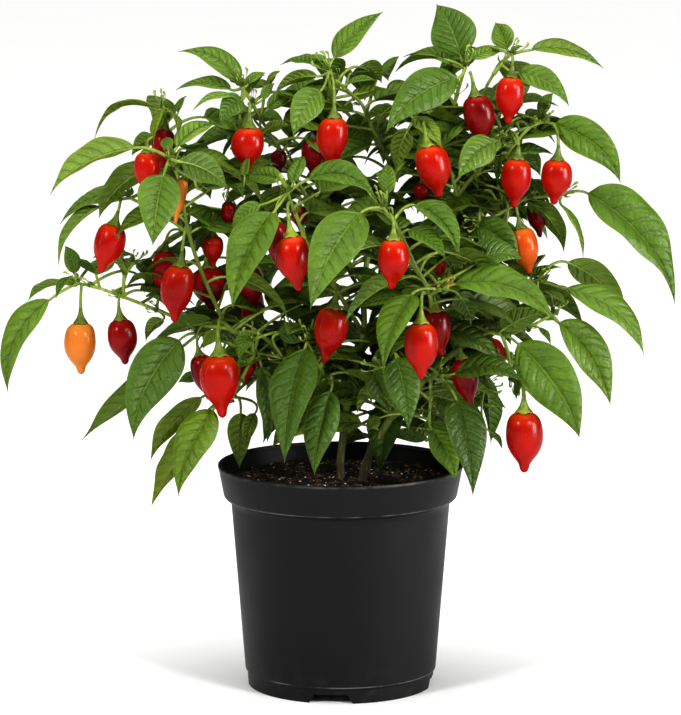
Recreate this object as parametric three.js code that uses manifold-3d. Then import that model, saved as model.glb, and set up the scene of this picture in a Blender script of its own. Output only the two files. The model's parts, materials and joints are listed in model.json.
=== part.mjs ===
// A potted chilli pepper plant: a black nursery pot, its soil, three stems grown from it, leafy shoots and
// hanging fruits. Units are mm, +Z is up, and the origin is under the pot's centre, on the surface that it
// stands on.
import * as THREE from "three";
import { mergeVertices } from "three/addons/utils/BufferGeometryUtils.js";
import Module from "manifold-3d";

const wasm = await Module();
wasm.setup();
const { Manifold } = wasm;
const { Vector2, Vector3 } = THREE;
const UP = new Vector3(0, 0, 1);
const CLEARANCE = 0.3; // between pieces that touch
const WELD = 1e-4; // points nearer to each other than this are one
const UPRIGHT = 0.05; // a line this near to upright has no level direction of its own

// The plant's places were read by a viewer who stands this far in front of the pot's axis, at this height.
const VIEW_DISTANCE = 2200;
const VIEW_HEIGHT = 552;

// Pot
const POT_HEIGHT = 137;
const RIM_RADIUS = 75;
const WALL = 1.4;
const COLLAR_HEIGHT = 20.5;
const COLLAR_FOOT_RADIUS = 71.3;
const BODY_TOP_RADIUS = 66.8;
const BODY_FOOT_RADIUS = 58.6;
const SKIRT_RADIUS = 57;
const SKIRT_HEIGHT = 8.5;
const FLOOR_HEIGHT = 6.6;
const SKIRT_FLARE = 0.2;
const SHOULDER_LENGTH = 3; // under the collar, where the body turns out to meet it
const COLLAR_EASE = 1.5;
const RIM_BAND = 2.5; // the thicker band round the top
const RIM_EASE = 0.6;
const POT_SIDES = 36;
const NOTCH_COUNT = 4;
const NOTCH_TURN = -96; // degrees, the first notch's direction from +X
const NOTCH_WIDTH = 28;
const NOTCH_HEIGHT = 5.5;
const NOTCH_SLANT = 4;
const DRAIN_RADIUS = 4;
const DRAIN_SIDES = 12;
const DRAIN_RING = 44;

// Soil
const SOIL_TOP = 126;
const SOIL_MOUND = 2;
const SOIL_SLACK = 0.1; // more room where the pot's wall bends

// Leaves: a blade's half-width along its length, as [place, share of the half-width]
const BLADE_OUTLINE = [[0.1, 0.62], [0.3, 1], [0.58, 0.7], [0.82, 0.26]];
const SMALL_OUTLINE = [[0.12, 0.7], [0.4, 1], [0.76, 0.36]];
const SMALL_LENGTH = 34; // a shorter blade takes the small outline
const BLADE_THICKNESS = 1.1; // at the midrib; the edges are thin
const BLADE_FOLD = 0.22; // how far the edges rise, as a share of the half-width
const BLADE_SLIMNESS = 0.42; // a blade's least width, as a share of its length
const PETIOLE_RADIUS = 0.75;
const SHORT_PETIOLE = 8; // a shorter petiole is straight
const PETIOLE_BEND = 0.45; // how far before the blade a petiole bends, as a share of its reach
const PETIOLE_MIDDLE = 0.55; // the place of a long petiole's second ring
const TWIG_RADIUS = 1.05;
const TWIG_SIDES = 5;
const STEM_SIDES = 6;
const STEM_END = 0.5; // how far a stem's closed end stands past its last ring

// Fruits: a berry's outline from its top to its tip, as [share of the half-width, place]
const BERRY_OUTLINE = [[0.74, 0.08], [1, 0.33], [0.84, 0.56], [0.22, 0.92], [0, 1]];
const BERRY_SIDES = 7;
const CALYX_OUTLINE = [[0, -4.5], [1.1, -4.5], [3.7, 0.6]]; // mm: radius, place
const PEDICEL_RADIUS = 0.8;
const PEDICEL_SIDES = 4;
const PEDICEL_STEPS = 2;
const PEDICEL_RISE = 2; // how far above the berry's top the pedicel ends, inside the calyx
const PEDICEL_BEND = 0.7; // how far above its end a pedicel bends, as a share of its reach

// Each stem's forks are lists of [u, v, near, radius]: the place that the viewer sees at u to the right and
// v up on the plane through the pot's axis, near mm closer to the viewer than that plane.
const STEMS = [
  ["main_stem", [
    [[2, 116, 0, 3.3], [0, 133, 0, 3.2], [2, 158, 0, 3], [5, 180, 2, 2.9], [14, 215, 0, 2.6],
      [14, 245, -8, 2.3], [18, 270, -12, 2.1], [28, 295, -14, 1.9], [32, 312, -10, 1.7], [28, 325, -6, 1.6],
      [18, 345, 0, 1.4], [12, 358, 5, 1.3], [3, 366, 8, 1.2]],
    [[5, 183, 2, 2.3], [-12, 192, 6, 2.2], [-30, 200, 10, 2.1], [-50, 217, 14, 2], [-66, 219, 18, 1.9],
      [-78, 240, 18, 1.7], [-91, 275, 20, 1.5], [-97, 308, 24, 1.3], [-100, 322, 26, 1.2],
      [-104, 340, 22, 1.1]],
    [[14, 217, 0, 1.9], [0, 240, 24, 1.7], [-10, 258, 37, 1.6], [-22, 276, 49, 1.3]],
    [[14, 247, -8, 1.8], [-4, 275, -16, 1.6], [-20, 300, -16, 1.5], [-36, 328, -10, 1.4],
      [-48, 348, -2, 1.2]],
  ]],
  ["right_stem", [
    [[13, 116, 10, 3.6], [15, 135, 10, 3.5], [22, 150, 10, 3.3], [33, 168, 10, 3], [41, 172, 12, 2.9],
      [50, 188, 16, 2.7], [70, 206, 26, 2.2], [90, 218, 37, 1.8]],
    [[50, 188, 16, 2], [54, 212, 34, 1.8], [54, 242, 62, 1.6], [45, 260, 67, 1.4], [37, 278, 69, 1.3]],
  ]],
  ["back_stem", [
    [[14, 116, -18, 3], [16, 133, -18, 2.9], [20, 152, -20, 2.8], [31, 171, -22, 2.6], [44, 200, -24, 2.4],
      [58, 235, -24, 2.2], [67, 268, -20, 2], [71, 300, -12, 1.8], [88, 322, 0, 1.5], [98, 336, 6, 1.4],
      [93, 350, 6, 1.3], [87, 364, 6, 1.2], [92, 375, 5, 1.1]],
    [[71, 300, -12, 1.6], [66, 320, -10, 1.4], [66, 345, -6, 1.3]],
    [[67, 268, -20, 1.6], [75, 286, -14, 1.4], [90, 295, -8, 1.3], [106, 299, -2, 1.2]],
    [[58, 235, -24, 1.6], [85, 240, -6, 1.3], [105, 244, 8, 1.2]],
    [[98, 336, 6, 1.3], [108, 341, 9, 1.1]],
  ]],
];

// Each shoot has twigs, as lists of [u, v, near], and leaves, as
// [base u, v, near, tip u, v, near, visible width, arch of the midrib].
const SHOOTS = [
  ["left_top_shoot", [
    [[-104, 340, 22], [-105, 347, 20], [-106, 354, 18]],
  ], [
    [-110, 354, 17, -149, 338, 8, 4, 10], [-98, 352, 14, -93, 362, 0, 4, 2],
    [-108, 353, 22, -113, 333, 49, 6, 3], [-102, 352, 22, -98, 337, 40, 5, 3],
  ]],
  ["left_front_shoot", [
    [[-97, 309, 24], [-100, 318, 40], [-103, 324, 52]],
    [[-100, 318, 40], [-88, 311, 32]],
  ], [
    [-124, 331, 49, -177, 305, 34, 14, 5], [-107, 314, 69, -114, 272, 94, 26, 3],
    [-99, 331, 46, -74, 346, 24, 10, 3], [-110, 336, 30, -126, 326, 14, 10, 4],
    [-96, 322, 62, -68, 306, 53, 18, 3], [-84, 306, 26, -57, 311, 12, 10, 2],
    [-82, 313, 28, -94, 302, 20, 8, 2],
  ]],
  ["left_mid_shoot", [
    [[-92, 279, 20], [-110, 291, 14], [-127, 300, 8]],
  ], [
    [-129, 302, 6, -170, 285, 2, 9, 6], [-130, 303, 2, -147, 297, -16, 4, 2],
    [-146, 295, 10, -173, 261, 18, 6.5, 4],
  ]],
  ["left_branch", [
    [[-67, 220, 18], [-92, 224, 18], [-110, 231, 16], [-133, 240, 12], [-150, 246, 8], [-160, 248, 5]],
    [[-132, 240, 12], [-131, 252, 6], [-126, 260, 2]],
  ], [
    [-161, 254, 2, -167, 271, -12, 10, 2], [-162, 247, 0, -190, 238, -24, 4, 4],
    [-163, 252, 8, -173, 239, 24, 5, 3], [-177, 238, 6, -203, 181, 12, 16, 8],
    [-127, 266, -2, -149, 255, -18, 6, 3], [-122, 262, -4, -112, 246, -22, 11, 2],
    [-108, 226, 10, -119, 213, 0, 8, 2],
  ]],
  ["low_left_shoot", [
    [[-50, 216, 14], [-53, 204, 16], [-60, 190, 20], [-66, 178, 24]],
    [[-53, 204, 16], [-70, 212, 10], [-86, 217, 16]],
    [[-53, 204, 16], [-54, 213, 28]],
  ], [
    [-98, 213, 28, -129, 153, 46, 30, 5], [-108, 198, 2, -159, 153, -18, 14, -2],
    [-85, 178, 16, -118, 140, 6, 13, 3], [-78, 170, 32, -101, 117, 53, 23, 3],
    [-88, 161, 4, -117, 111, -4, 15, 0], [-61, 168, -4, -62, 134, -10, 15, 2],
    [-52, 168, 12, -57, 147, 14, 9, 2], [-55, 218, 30, -62, 200, 30, 10, 2],
  ]],
  ["low_centre_shoot", [
    [[-10, 191, 6], [-14, 200, 24], [-20, 212, 38]],
    [[-14, 200, 24], [-34, 202, 22], [-50, 205, 16]],
    [[-14, 200, 24], [-9, 190, 40]],
  ], [
    [-22, 208, 49, -35, 138, 85, 27, 4], [-48, 197, 18, -44, 150, 26, 15, 3],
    [-6, 182, 56, -17, 130, 72, 21, 3], [-11, 204, 30, -22, 170, 22, 14, 3],
  ]],
  ["front_centre_shoot", [
    [[-22, 276, 49], [-27, 290, 57], [-32, 303, 62]],
  ], [
    [-48, 296, 65, -66, 280, 69, 9, 3], [-41, 291, 78, -67, 234, 107, 25, 5],
    [-19, 312, 65, 22, 300, 75, 14, 8], [-36, 311, 53, -58, 313, 34, 11, 2],
    [-29, 309, 53, -22, 326, 32, 9, 2],
  ]],
  ["top_left_shoot", [
    [[-48, 348, -2], [-53, 357, 3], [-59, 367, 8]],
    [[-53, 357, 3], [-58, 347, 0], [-60, 340, 2]],
  ], [
    [-61, 371, 8, -97, 389, 0, 13, 6], [-66, 366, 8, -99, 366, 2, 7, 4], [-56, 369, 4, -45, 376, -12, 5, 2],
    [-62, 361, 16, -89, 354, 30, 5, 4], [-59, 360, 16, -73, 344, 30, 14, 3],
    [-44, 354, 2, -28, 363, -10, 9, 2], [-62, 339, 2, -80, 345, -12, 7, 2],
    [-46, 340, 8, -30, 344, 14, 7, 2],
  ]],
  ["top_centre_shoot", [
    [[3, 366, 8], [-2, 371, 11], [-7, 377, 14]],
    [[-2, 371, 11], [-7, 363, -2], [1, 354, -9]],
  ], [
    [-12, 365, 20, -29, 338, 40, 19, 3], [-14, 374, 12, -40, 363, 6, 8, 4],
    [-16, 381, 6, -36, 381, -14, 5, 2], [-4, 385, 8, 25, 413, 0, 14, 1], [4, 369, 16, 22, 371, 20, 4, 2],
    [7, 360, -10, 36, 363, -20, 7, 3], [6, 350, -10, 17, 328, -20, 17, 2],
  ]],
  ["crown_shoot", [
    [[66, 345, -6], [70, 362, 0], [75, 379, 6]],
  ], [
    [70, 373, 16, 26, 341, 46, 25, 6], [68, 381, 0, 38, 387, -16, 5, 3], [72, 386, 4, 58, 417, -6, 28, 2],
    [78, 384, 6, 97, 389, -8, 8, 2],
  ]],
  ["inner_right_shoot", [
    [[68, 313, -11], [60, 331, -2], [45, 348, 14]],
    [[60, 331, -2], [76, 336, 4], [90, 336, 14]],
  ], [
    [82, 342, -4, 60, 341, -22, 7, 2], [93, 334, 20, 71, 312, 40, 19, 3], [44, 349, 24, 61, 331, 46, 11, 2],
    [47, 352, 16, 64, 356, 4, 7, 2], [41, 342, 10, 34, 316, 4, 13, 2],
  ]],
  ["top_right_shoot", [
    [[92, 375, 5], [97, 381, 4], [102, 387, 4]],
  ], [
    [115, 390, 4, 158, 379, -4, 9, 4.5], [106, 376, 10, 138, 357, 22, 14, 5],
    [100, 390, 0, 93, 406, -14, 14, 2],
  ]],
  ["right_top_shoot", [
    [[108, 341, 9], [114, 343, 10], [121, 346, 10]],
    [[114, 343, 10], [106, 334, 13], [101, 327, 11]],
  ], [
    [129, 345, 12, 171, 312, 24, 22, 6], [121, 350, 4, 128, 364, -8, 8, 2],
    [100, 325, 10, 128, 328, 2, 7, 2],
  ]],
  ["right_tip_shoot", [
    [[106, 299, -2], [112, 300, 0], [134, 302, 3]],
    [[112, 300, 0], [97, 291, 5], [84, 285, 13]],
  ], [
    [150, 303, 6, 206, 238, 20, 27, 8], [134, 296, 8, 148, 264, 18, 4, 3],
    [114, 298, -6, 137, 269, -18, 13, 3], [82, 283, 14, 108, 261, 28, 20, 4],
  ]],
  ["right_mid_shoot", [
    [[105, 244, 8], [112, 247, 11], [120, 250, 15]],
  ], [
    [137, 245, 20, 186, 206, 37, 17, 8], [138, 261, 4, 173, 228, -8, 18, 5],
    [122, 243, 22, 138, 234, 37, 4, 2],
  ]],
  ["front_shoot", [
    [[37, 278, 69], [32, 286, 70], [26, 294, 70]],
  ], [
    [28, 302, 59, 28, 322, 40, 11, 2], [22, 294, 62, 9, 299, 43, 8, 1], [12, 291, 81, -19, 233, 120, 30, 6],
    [45, 296, 72, 73, 265, 91, 14, 6], [42, 281, 75, 64, 264, 97, 12, 3],
  ]],
  ["front_right_shoot", [
    [[54, 241, 61], [58, 243, 67], [61, 244, 72]],
  ], [
    [43, 241, 85, 25, 195, 120, 20, 4], [70, 248, 75, 132, 227, 94, 20, 7],
    [62, 249, 59, 84, 256, 40, 5, 2], [71, 242, 56, 80, 223, 44, 14, 2],
  ]],
  ["low_right_shoot", [
    [[90, 218, 37], [98, 217, 38], [112, 220, 34], [129, 229, 32]],
    [[98, 217, 38], [102, 205, 32], [104, 192, 31]],
  ], [
    [98, 219, 46, 127, 230, 62, 14, 3], [108, 211, 49, 148, 155, 78, 32, 4],
    [133, 224, 30, 165, 173, 30, 22, 6], [110, 186, 30, 123, 174, 46, 6, 2],
  ]],
  ["base_right_shoot", [
    [[50, 188, 16], [55, 190, 26], [60, 192, 38]],
    [[55, 190, 26], [55, 176, 32], [54, 164, 32]],
    [[55, 190, 26], [38, 197, 38], [25, 196, 38]],
    [[55, 190, 26], [72, 187, 16], [88, 184, 8]],
  ], [
    [70, 193, 49, 111, 189, 72, 15, 5], [71, 176, 56, 82, 117, 85, 24, 5], [90, 181, 4, 92, 150, -6, 12, 3],
    [34, 202, 56, 42, 158, 78, 22, 3], [20, 194, 37, 31, 168, 56, 18, 2], [56, 158, 37, 71, 126, 49, 17, 3],
  ]],
];

// Shoots at the back, each as [name, its twig, leaf length, leaf count, first turn in degrees]
const BACK_SHOOTS = [
  ["back_left_shoot", [[-14, 193, 5], [-38, 212, -30], [-60, 250, -62], [-66, 292, -76]], 60, 7, 20],
  ["back_centre_shoot", [[14, 240, -7], [2, 262, -34], [-10, 292, -62], [-16, 326, -76]], 60, 8, 75],
  ["back_right_shoot", [[58, 233, -24], [66, 246, -46], [78, 272, -68], [84, 304, -80]], 60, 7, 140],
  ["back_low_shoot", [[4, 178, 0], [-8, 190, -28], [-22, 202, -58], [-30, 218, -82]], 58, 7, 50],
  ["back_low_right_shoot", [[32, 174, -22], [40, 184, -46], [50, 196, -68], [56, 214, -84]], 56, 7, 110],
];
const BARE_STEPS = 3; // of the twig's steps, below its lowest leaf
const BACK_STAND_OFF = 9; // from the twig to a blade's base
const BACK_RISE = 3; // from the twig up to a blade's base
const BACK_TURNED_AWAY = 0.8; // how strongly the leaves turn away from the viewer
const BACK_SET_BACK = 0.1;
const BACK_REACH = 0.78; // how far out a tip lies, as a share of the leaf's length
const BACK_DROOPS = [0.2625, 0.4875, 0.7125]; // how far tips fall by turns, as shares of the length
const BACK_WIDTH = 0.46;
const BACK_ARCH = 0.1;
const BACK_SIZE = 0.84; // the leaves' size swings about this share of the length
const BACK_SIZE_SWING = 0.2;
const BACK_SIZE_BEAT = 2.3;
const BACK_TURN = 0.3; // radians, and the blades' own turns swing by this
const BACK_TURN_BEAT = 1.7;
const GOLDEN_TURN = 137.5; // degrees between one leaf and the next

// Each fruit is [name, pedicel's start u, v, near, berry's top u, v, tip u, v, width, near, colour].
const FRUITS = [
  ["fruit_left_top", -106, 352, 22, -106, 342, -108, 318, 14, 26, "dark"],
  ["fruit_left_front", -113, 337, 46, -117, 328, -118, 303, 16, 46, "red"],
  ["fruit_left_mid", -133, 299, 10, -137, 284, -146, 254, 19, 14, "red"],
  ["fruit_left_tip", -157, 248, 8, -158, 224, -158, 192, 19.5, 12, "orange"],
  ["fruit_left_branch", -134, 241, 14, -134, 226, -131, 198, 18, 18, "dark"],
  ["fruit_left_hang", -94, 282, 24, -97, 259, -101, 224, 20, 32, "red"],
  ["fruit_left_inner", -82, 262, 8, -80, 258, -78, 231, 21, 0, "dark"],
  ["fruit_front_left", -72, 228, 22, -74, 204, -72, 165, 24, 37, "red"],
  ["fruit_left_low", -84, 222, 20, -86, 204, -80, 176, 15, 21, "dark"],
  ["fruit_top_left", -55, 357, 10, -55, 343, -56, 317, 20, 24, "red"],
  ["fruit_top_centre", -5, 373, 18, -4, 349, -5, 316, 19, 30, "red"],
  ["fruit_centre_back", -36, 300, 69, -39, 286, -38, 256, 14, 72, "dark"],
  ["fruit_centre_front", -31, 297, 72, -30, 277, -25, 243, 21, 88, "red"],
  ["fruit_centre_low", -1, 246, 34, -4, 233, -10, 199, 20.5, 43, "red"],
  ["fruit_crown", 78, 376, 12, 81, 362, 86, 332, 19, 18, "dark"],
  ["fruit_inner_right", 50, 346, 30, 53, 332, 60, 300, 21, 40, "red"],
  ["fruit_front", 30, 290, 81, 32, 275, 31, 244, 19, 88, "red"],
  ["fruit_front_right", 51, 242, 75, 49, 224, 49, 189, 21, 94, "red"],
  ["fruit_right_inner", 57, 241, 59, 58, 231, 62, 203, 17, 56, "dark"],
  ["fruit_right_low_inner", 78, 214, 37, 74, 202, 80, 171, 16, 43, "dark"],
  ["fruit_right_low_back", 86, 222, 28, 90, 213, 98, 191, 16, 12, "red"],
  ["fruit_right_low", 106, 196, 37, 112, 169, 112.5, 131, 23, 59, "red"],
  ["fruit_right_mid", 106, 296, 2, 109, 282, 115, 254, 17.5, 18, "orange_red"],
  ["fruit_right_top", 103, 340, 12, 107, 324, 105, 294, 18.5, 24, "red"],
  ["fruit_right_end", 128, 345, 14, 131, 323.5, 129, 296, 19, 20, "red"],
  ["fruit_top_right", 103, 387, 8, 103, 373.5, 101, 344.5, 17.5, 16, "red"],
  ["fruit_back_left", -62, 262, -68, -56, 246, -55, 214, 19, -92, "red"],
  ["fruit_back_centre", -12, 300, -66, -4, 286, -3, 254, 20, -92, "red"],
  ["fruit_back_right", 80, 280, -72, 72, 264, 71, 233, 19, -94, "red"],
  ["fruit_back_low", -26, 209, -70, -16, 196, -15, 166, 18, -96, "orange"],
  ["fruit_back_low_right", 53, 204, -76, 46, 190, 44, 160, 19, -100, "red"],
];

const BLACK_PLASTIC = { color: 0x232324, roughness: 0.45, metalness: 0 };
const DARK_SOIL = { color: 0x241a12, roughness: 0.95, metalness: 0 };
const GREEN_BARK = { color: 0x66763a, roughness: 0.6, metalness: 0 };
const LEAF_GREEN = { color: 0x4c8a2b, roughness: 0.5, metalness: 0 };
const FRUIT_COLOURS = {
  red: { color: 0xd0120a, roughness: 0.15, metalness: 0 },
  dark: { color: 0x9c0a0a, roughness: 0.18, metalness: 0 },
  orange: { color: 0xf0780f, roughness: 0.15, metalness: 0 },
  orange_red: { color: 0xe6460c, roughness: 0.15, metalness: 0 },
};

const radians = THREE.MathUtils.degToRad;

// The point seen at (u, v), near mm closer than the plane through the pot's axis
function seen([u, v, near]) {
  const share = (VIEW_DISTANCE - near) / VIEW_DISTANCE;
  return new Vector3(u * share, -near, VIEW_HEIGHT + (v - VIEW_HEIGHT) * share);
}

function solidOf(geometry) {
  const bare = geometry.clone();
  bare.deleteAttribute("normal");
  bare.deleteAttribute("uv");
  const merged = mergeVertices(bare, WELD);
  const solid = new Manifold(new wasm.Mesh({
    numProp: 3,
    vertProperties: new Float32Array(merged.attributes.position.array),
    triVerts: new Uint32Array(merged.index.array),
  }));
  return solid;
}

function meshOf(name, solid, look) {
  const cut = solid.getMesh();
  const geometry = new THREE.BufferGeometry();
  geometry.setAttribute("position", new THREE.BufferAttribute(cut.vertProperties, 3));
  geometry.setIndex(new THREE.BufferAttribute(cut.triVerts, 1));
  geometry.computeVertexNormals();
  const mesh = new THREE.Mesh(geometry, new THREE.MeshStandardMaterial(look));
  mesh.name = name;
  return mesh;
}

// A closed skin over rings of points, with a pole at each end
function loft(first, rings, last) {
  const sides = rings[0].length;
  const points = [first, ...rings.flat(), last];
  const end = points.length - 1;
  const at = (ring, side) => 1 + ring * sides + (side % sides);
  const index = [];
  for (let side = 0; side < sides; side += 1) {
    index.push(0, at(0, side), at(0, side + 1));
    index.push(end, at(rings.length - 1, side + 1), at(rings.length - 1, side));
    for (let ring = 0; ring + 1 < rings.length; ring += 1) {
      index.push(at(ring, side), at(ring + 1, side), at(ring, side + 1));
      index.push(at(ring, side + 1), at(ring + 1, side), at(ring + 1, side + 1));
    }
  }
  const geometry = new THREE.BufferGeometry().setFromPoints(points);
  geometry.setIndex(index);
  return geometry;
}

// Two directions across a line, the first one level where it can be
function across(direction) {
  const side = new Vector3().crossVectors(direction, UP);
  if (side.length() < UPRIGHT) side.set(1, 0, 0);
  side.normalize();
  return [side, new Vector3().crossVectors(side, direction).normalize()];
}

// A round stem along a smooth line through points, with a radius at each
function stemOf(points, radii, sides, grow = 0) {
  const curve = new THREE.CatmullRomCurve3(points, false, "centripetal");
  const spans = points.length - 1;
  const rings = points.map((point, i) => {
    const [side, over] = across(curve.getTangent(i / spans));
    return Array.from({ length: sides }, (_, k) => {
      const turn = (2 * Math.PI * k) / sides;
      return point.clone()
        .addScaledVector(side, Math.cos(turn) * (radii[i] + grow))
        .addScaledVector(over, Math.sin(turn) * (radii[i] + grow));
    });
  });
  const ends = [points[0].clone(), points[spans].clone()];
  ends[0].addScaledVector(curve.getTangent(0), -STEM_END - grow);
  ends[1].addScaledVector(curve.getTangent(1), STEM_END + grow);
  return solidOf(loft(ends[0], rings, ends[1]));
}

// The turn about its chord that shows a blade this wide to the viewer, the nearest one to lying level
function bladeTurn(side, over, sight, chord, share) {
  const picture = new Vector3().crossVectors(sight, chord).normalize();
  const facing = Math.atan2(over.dot(picture), side.dot(picture));
  const open = Math.acos(Math.min(1, share));
  const turns = [facing + open, facing - open].map((turn) => {
    const halves = Math.round(turn / Math.PI);
    return turn - halves * Math.PI;
  });
  return Math.abs(turns[0]) < Math.abs(turns[1]) ? turns[0] : turns[1];
}

// A blade with its petiole in one skin: four points round each place along it
function leafOf({ start, base, tip, width, arch, turn }, grow = 0) {
  const chord = tip.clone().sub(base);
  const length = chord.length();
  chord.normalize();
  const [side, over] = across(chord);
  const ringAt = (middle, along, half, thick, fold) => {
    const level = new Vector3().crossVectors(side, along).normalize();
    const reach = side.clone().multiplyScalar(Math.cos(turn)).addScaledVector(level, Math.sin(turn));
    reach.addScaledVector(along, -reach.dot(along)).normalize();
    const face = new Vector3().crossVectors(reach, along).normalize();
    const point = (sideways, up) => middle.clone().addScaledVector(reach, sideways).addScaledVector(face, up);
    const out = half + 2 * grow;
    return [point(out, fold * out), point(0, thick + grow), point(-out, fold * out), point(0, -thick - grow)];
  };
  const place = (t) => base.clone()
    .addScaledVector(chord, t * length)
    .addScaledVector(over, 4 * arch * t * (1 - t));
  const outline = length < SMALL_LENGTH ? SMALL_OUTLINE : BLADE_OUTLINE;
  const blade = outline.map(([t, share]) => {
    const along = chord.clone().multiplyScalar(length).addScaledVector(over, 4 * arch * (1 - 2 * t));
    return ringAt(place(t), along.normalize(), (share * width) / 2, BLADE_THICKNESS / 2, BLADE_FOLD);
  });
  const setOff = chord.clone().multiplyScalar(length).addScaledVector(over, 4 * arch).normalize();
  const reach = start.distanceTo(base);
  const bend = base.clone().addScaledVector(setOff, -PETIOLE_BEND * reach);
  const curve = new THREE.QuadraticBezierCurve3(start, bend, base);
  const petiole = (reach < SHORT_PETIOLE ? [0] : [0, PETIOLE_MIDDLE]).map((t) => (
    ringAt(curve.getPoint(t), curve.getTangent(t), PETIOLE_RADIUS, PETIOLE_RADIUS, 0)
  ));
  const root = start.clone().addScaledVector(curve.getTangent(0), -PETIOLE_RADIUS - grow);
  return solidOf(loft(root, [...petiole, ...blade], place(1).addScaledVector(chord, grow)));
}

// A leaf as its base, tip, width, arch and turn, from a row read by the viewer
function readLeaf([u0, v0, near0, u1, v1, near1, visible, arch]) {
  const base = seen([u0, v0, near0]);
  const tip = seen([u1, v1, near1]);
  const chord = tip.clone().sub(base);
  const scale = (VIEW_DISTANCE - (near0 + near1) / 2) / VIEW_DISTANCE;
  const width = Math.max(visible * scale, BLADE_SLIMNESS * chord.length());
  chord.normalize();
  const sight = seen([0, VIEW_HEIGHT, VIEW_DISTANCE]).sub(base).normalize();
  const [side, over] = across(chord);
  const turn = bladeTurn(side, over, sight, chord, (visible * scale) / width);
  return { base, tip, width, arch, turn };
}

// A back shoot's twig, and its leaves turned one after the other about it, from the top down
function climb(twig, length, count, firstTurn) {
  const line = new THREE.CatmullRomCurve3(twig.map(seen), false, "centripetal").getPoints(count + BARE_STEPS);
  const leaves = Array.from({ length: count }, (_, i) => {
    const turn = radians(firstTurn + i * GOLDEN_TURN);
    const start = line.at(-1 - i);
    const away = BACK_TURNED_AWAY * Math.abs(Math.sin(turn)) + BACK_SET_BACK;
    const out = new Vector3(Math.cos(turn), away, 0).normalize();
    const size = length * (BACK_SIZE + BACK_SIZE_SWING * Math.sin(BACK_SIZE_BEAT * i + firstTurn));
    const base = start.clone().addScaledVector(out, BACK_STAND_OFF);
    base.z += BACK_RISE;
    const tip = base.clone().addScaledVector(out, BACK_REACH * size);
    tip.z -= size * BACK_DROOPS[i % BACK_DROOPS.length];
    return {
      start,
      base,
      tip,
      width: BACK_WIDTH * size,
      arch: BACK_ARCH * size,
      turn: BACK_TURN * Math.sin(BACK_TURN_BEAT * i),
    };
  });
  return { lines: [line], leaves };
}

// A solid with the room round it that other pieces keep clear of
function roomOf(grown) {
  return { grown, box: grown.boundingBox() };
}

function boxesMeet(a, b) {
  return [0, 1, 2].every((i) => a.min[i] <= b.max[i] && b.min[i] <= a.max[i]);
}

// What is left of a solid outside the rooms of its neighbours
function keepOut(solid, rooms) {
  const box = solid.boundingBox();
  const near = rooms.filter((room) => boxesMeet(box, room.box)).map((room) => room.grown);
  if (near.length === 0) return solid;
  return Manifold.difference([solid, ...near]);
}

function largest(solid) {
  return solid.decompose().reduce((best, body) => (body.volume() > best.volume() ? body : best));
}

function latheOf(profile, sides) {
  const outline = profile.map(([radius, height]) => new Vector2(radius, height));
  return new THREE.LatheGeometry(outline, sides).rotateX(Math.PI / 2);
}

function makePot() {
  const shoulder = POT_HEIGHT - COLLAR_HEIGHT;
  const profile = [
    [0, FLOOR_HEIGHT],
    [SKIRT_RADIUS - 2 * WALL, FLOOR_HEIGHT],
    [SKIRT_RADIUS - 2 * WALL, 0],
    [SKIRT_RADIUS, 0],
    [SKIRT_RADIUS + SKIRT_FLARE, SKIRT_HEIGHT],
    [BODY_FOOT_RADIUS, SKIRT_HEIGHT + 1],
    [BODY_TOP_RADIUS, shoulder - SHOULDER_LENGTH],
    [COLLAR_FOOT_RADIUS - COLLAR_EASE, shoulder - 1],
    [COLLAR_FOOT_RADIUS, shoulder + 1],
    [RIM_RADIUS - RIM_EASE / 2, POT_HEIGHT - RIM_BAND],
    [RIM_RADIUS, POT_HEIGHT - 2 * RIM_EASE],
    [RIM_RADIUS - RIM_EASE, POT_HEIGHT],
    [RIM_RADIUS - WALL, POT_HEIGHT],
    [RIM_RADIUS - WALL - RIM_EASE / 2, POT_HEIGHT - RIM_BAND],
    [COLLAR_FOOT_RADIUS - WALL, shoulder + 2],
    [BODY_TOP_RADIUS - WALL, shoulder - 2],
    [BODY_FOOT_RADIUS - WALL, FLOOR_HEIGHT + WALL],
    [0, FLOOR_HEIGHT + WALL],
  ];
  let pot = solidOf(latheOf(profile, POT_SIDES));
  const notch = new THREE.Shape([
    new Vector2(-NOTCH_WIDTH / 2, -1),
    new Vector2(NOTCH_WIDTH / 2, -1),
    new Vector2(NOTCH_WIDTH / 2 - NOTCH_SLANT, NOTCH_HEIGHT),
    new Vector2(NOTCH_SLANT - NOTCH_WIDTH / 2, NOTCH_HEIGHT),
  ]);
  const depth = 3 * DRAIN_RADIUS;
  for (let i = 0; i < NOTCH_COUNT; i += 1) {
    const turn = radians(NOTCH_TURN + (360 / NOTCH_COUNT) * i);
    const cut = new THREE.ExtrudeGeometry(notch, { depth, bevelEnabled: false });
    cut.rotateX(Math.PI / 2).rotateZ(Math.PI / 2).translate(SKIRT_RADIUS - depth / 2, 0, 0).rotateZ(turn);
    const hole = new THREE.CylinderGeometry(DRAIN_RADIUS, DRAIN_RADIUS, 4 * WALL, DRAIN_SIDES);
    hole.rotateX(Math.PI / 2).translate(DRAIN_RING, 0, FLOOR_HEIGHT).rotateZ(turn);
    pot = pot.subtract(solidOf(cut)).subtract(solidOf(hole));
  }
  return pot;
}

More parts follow.
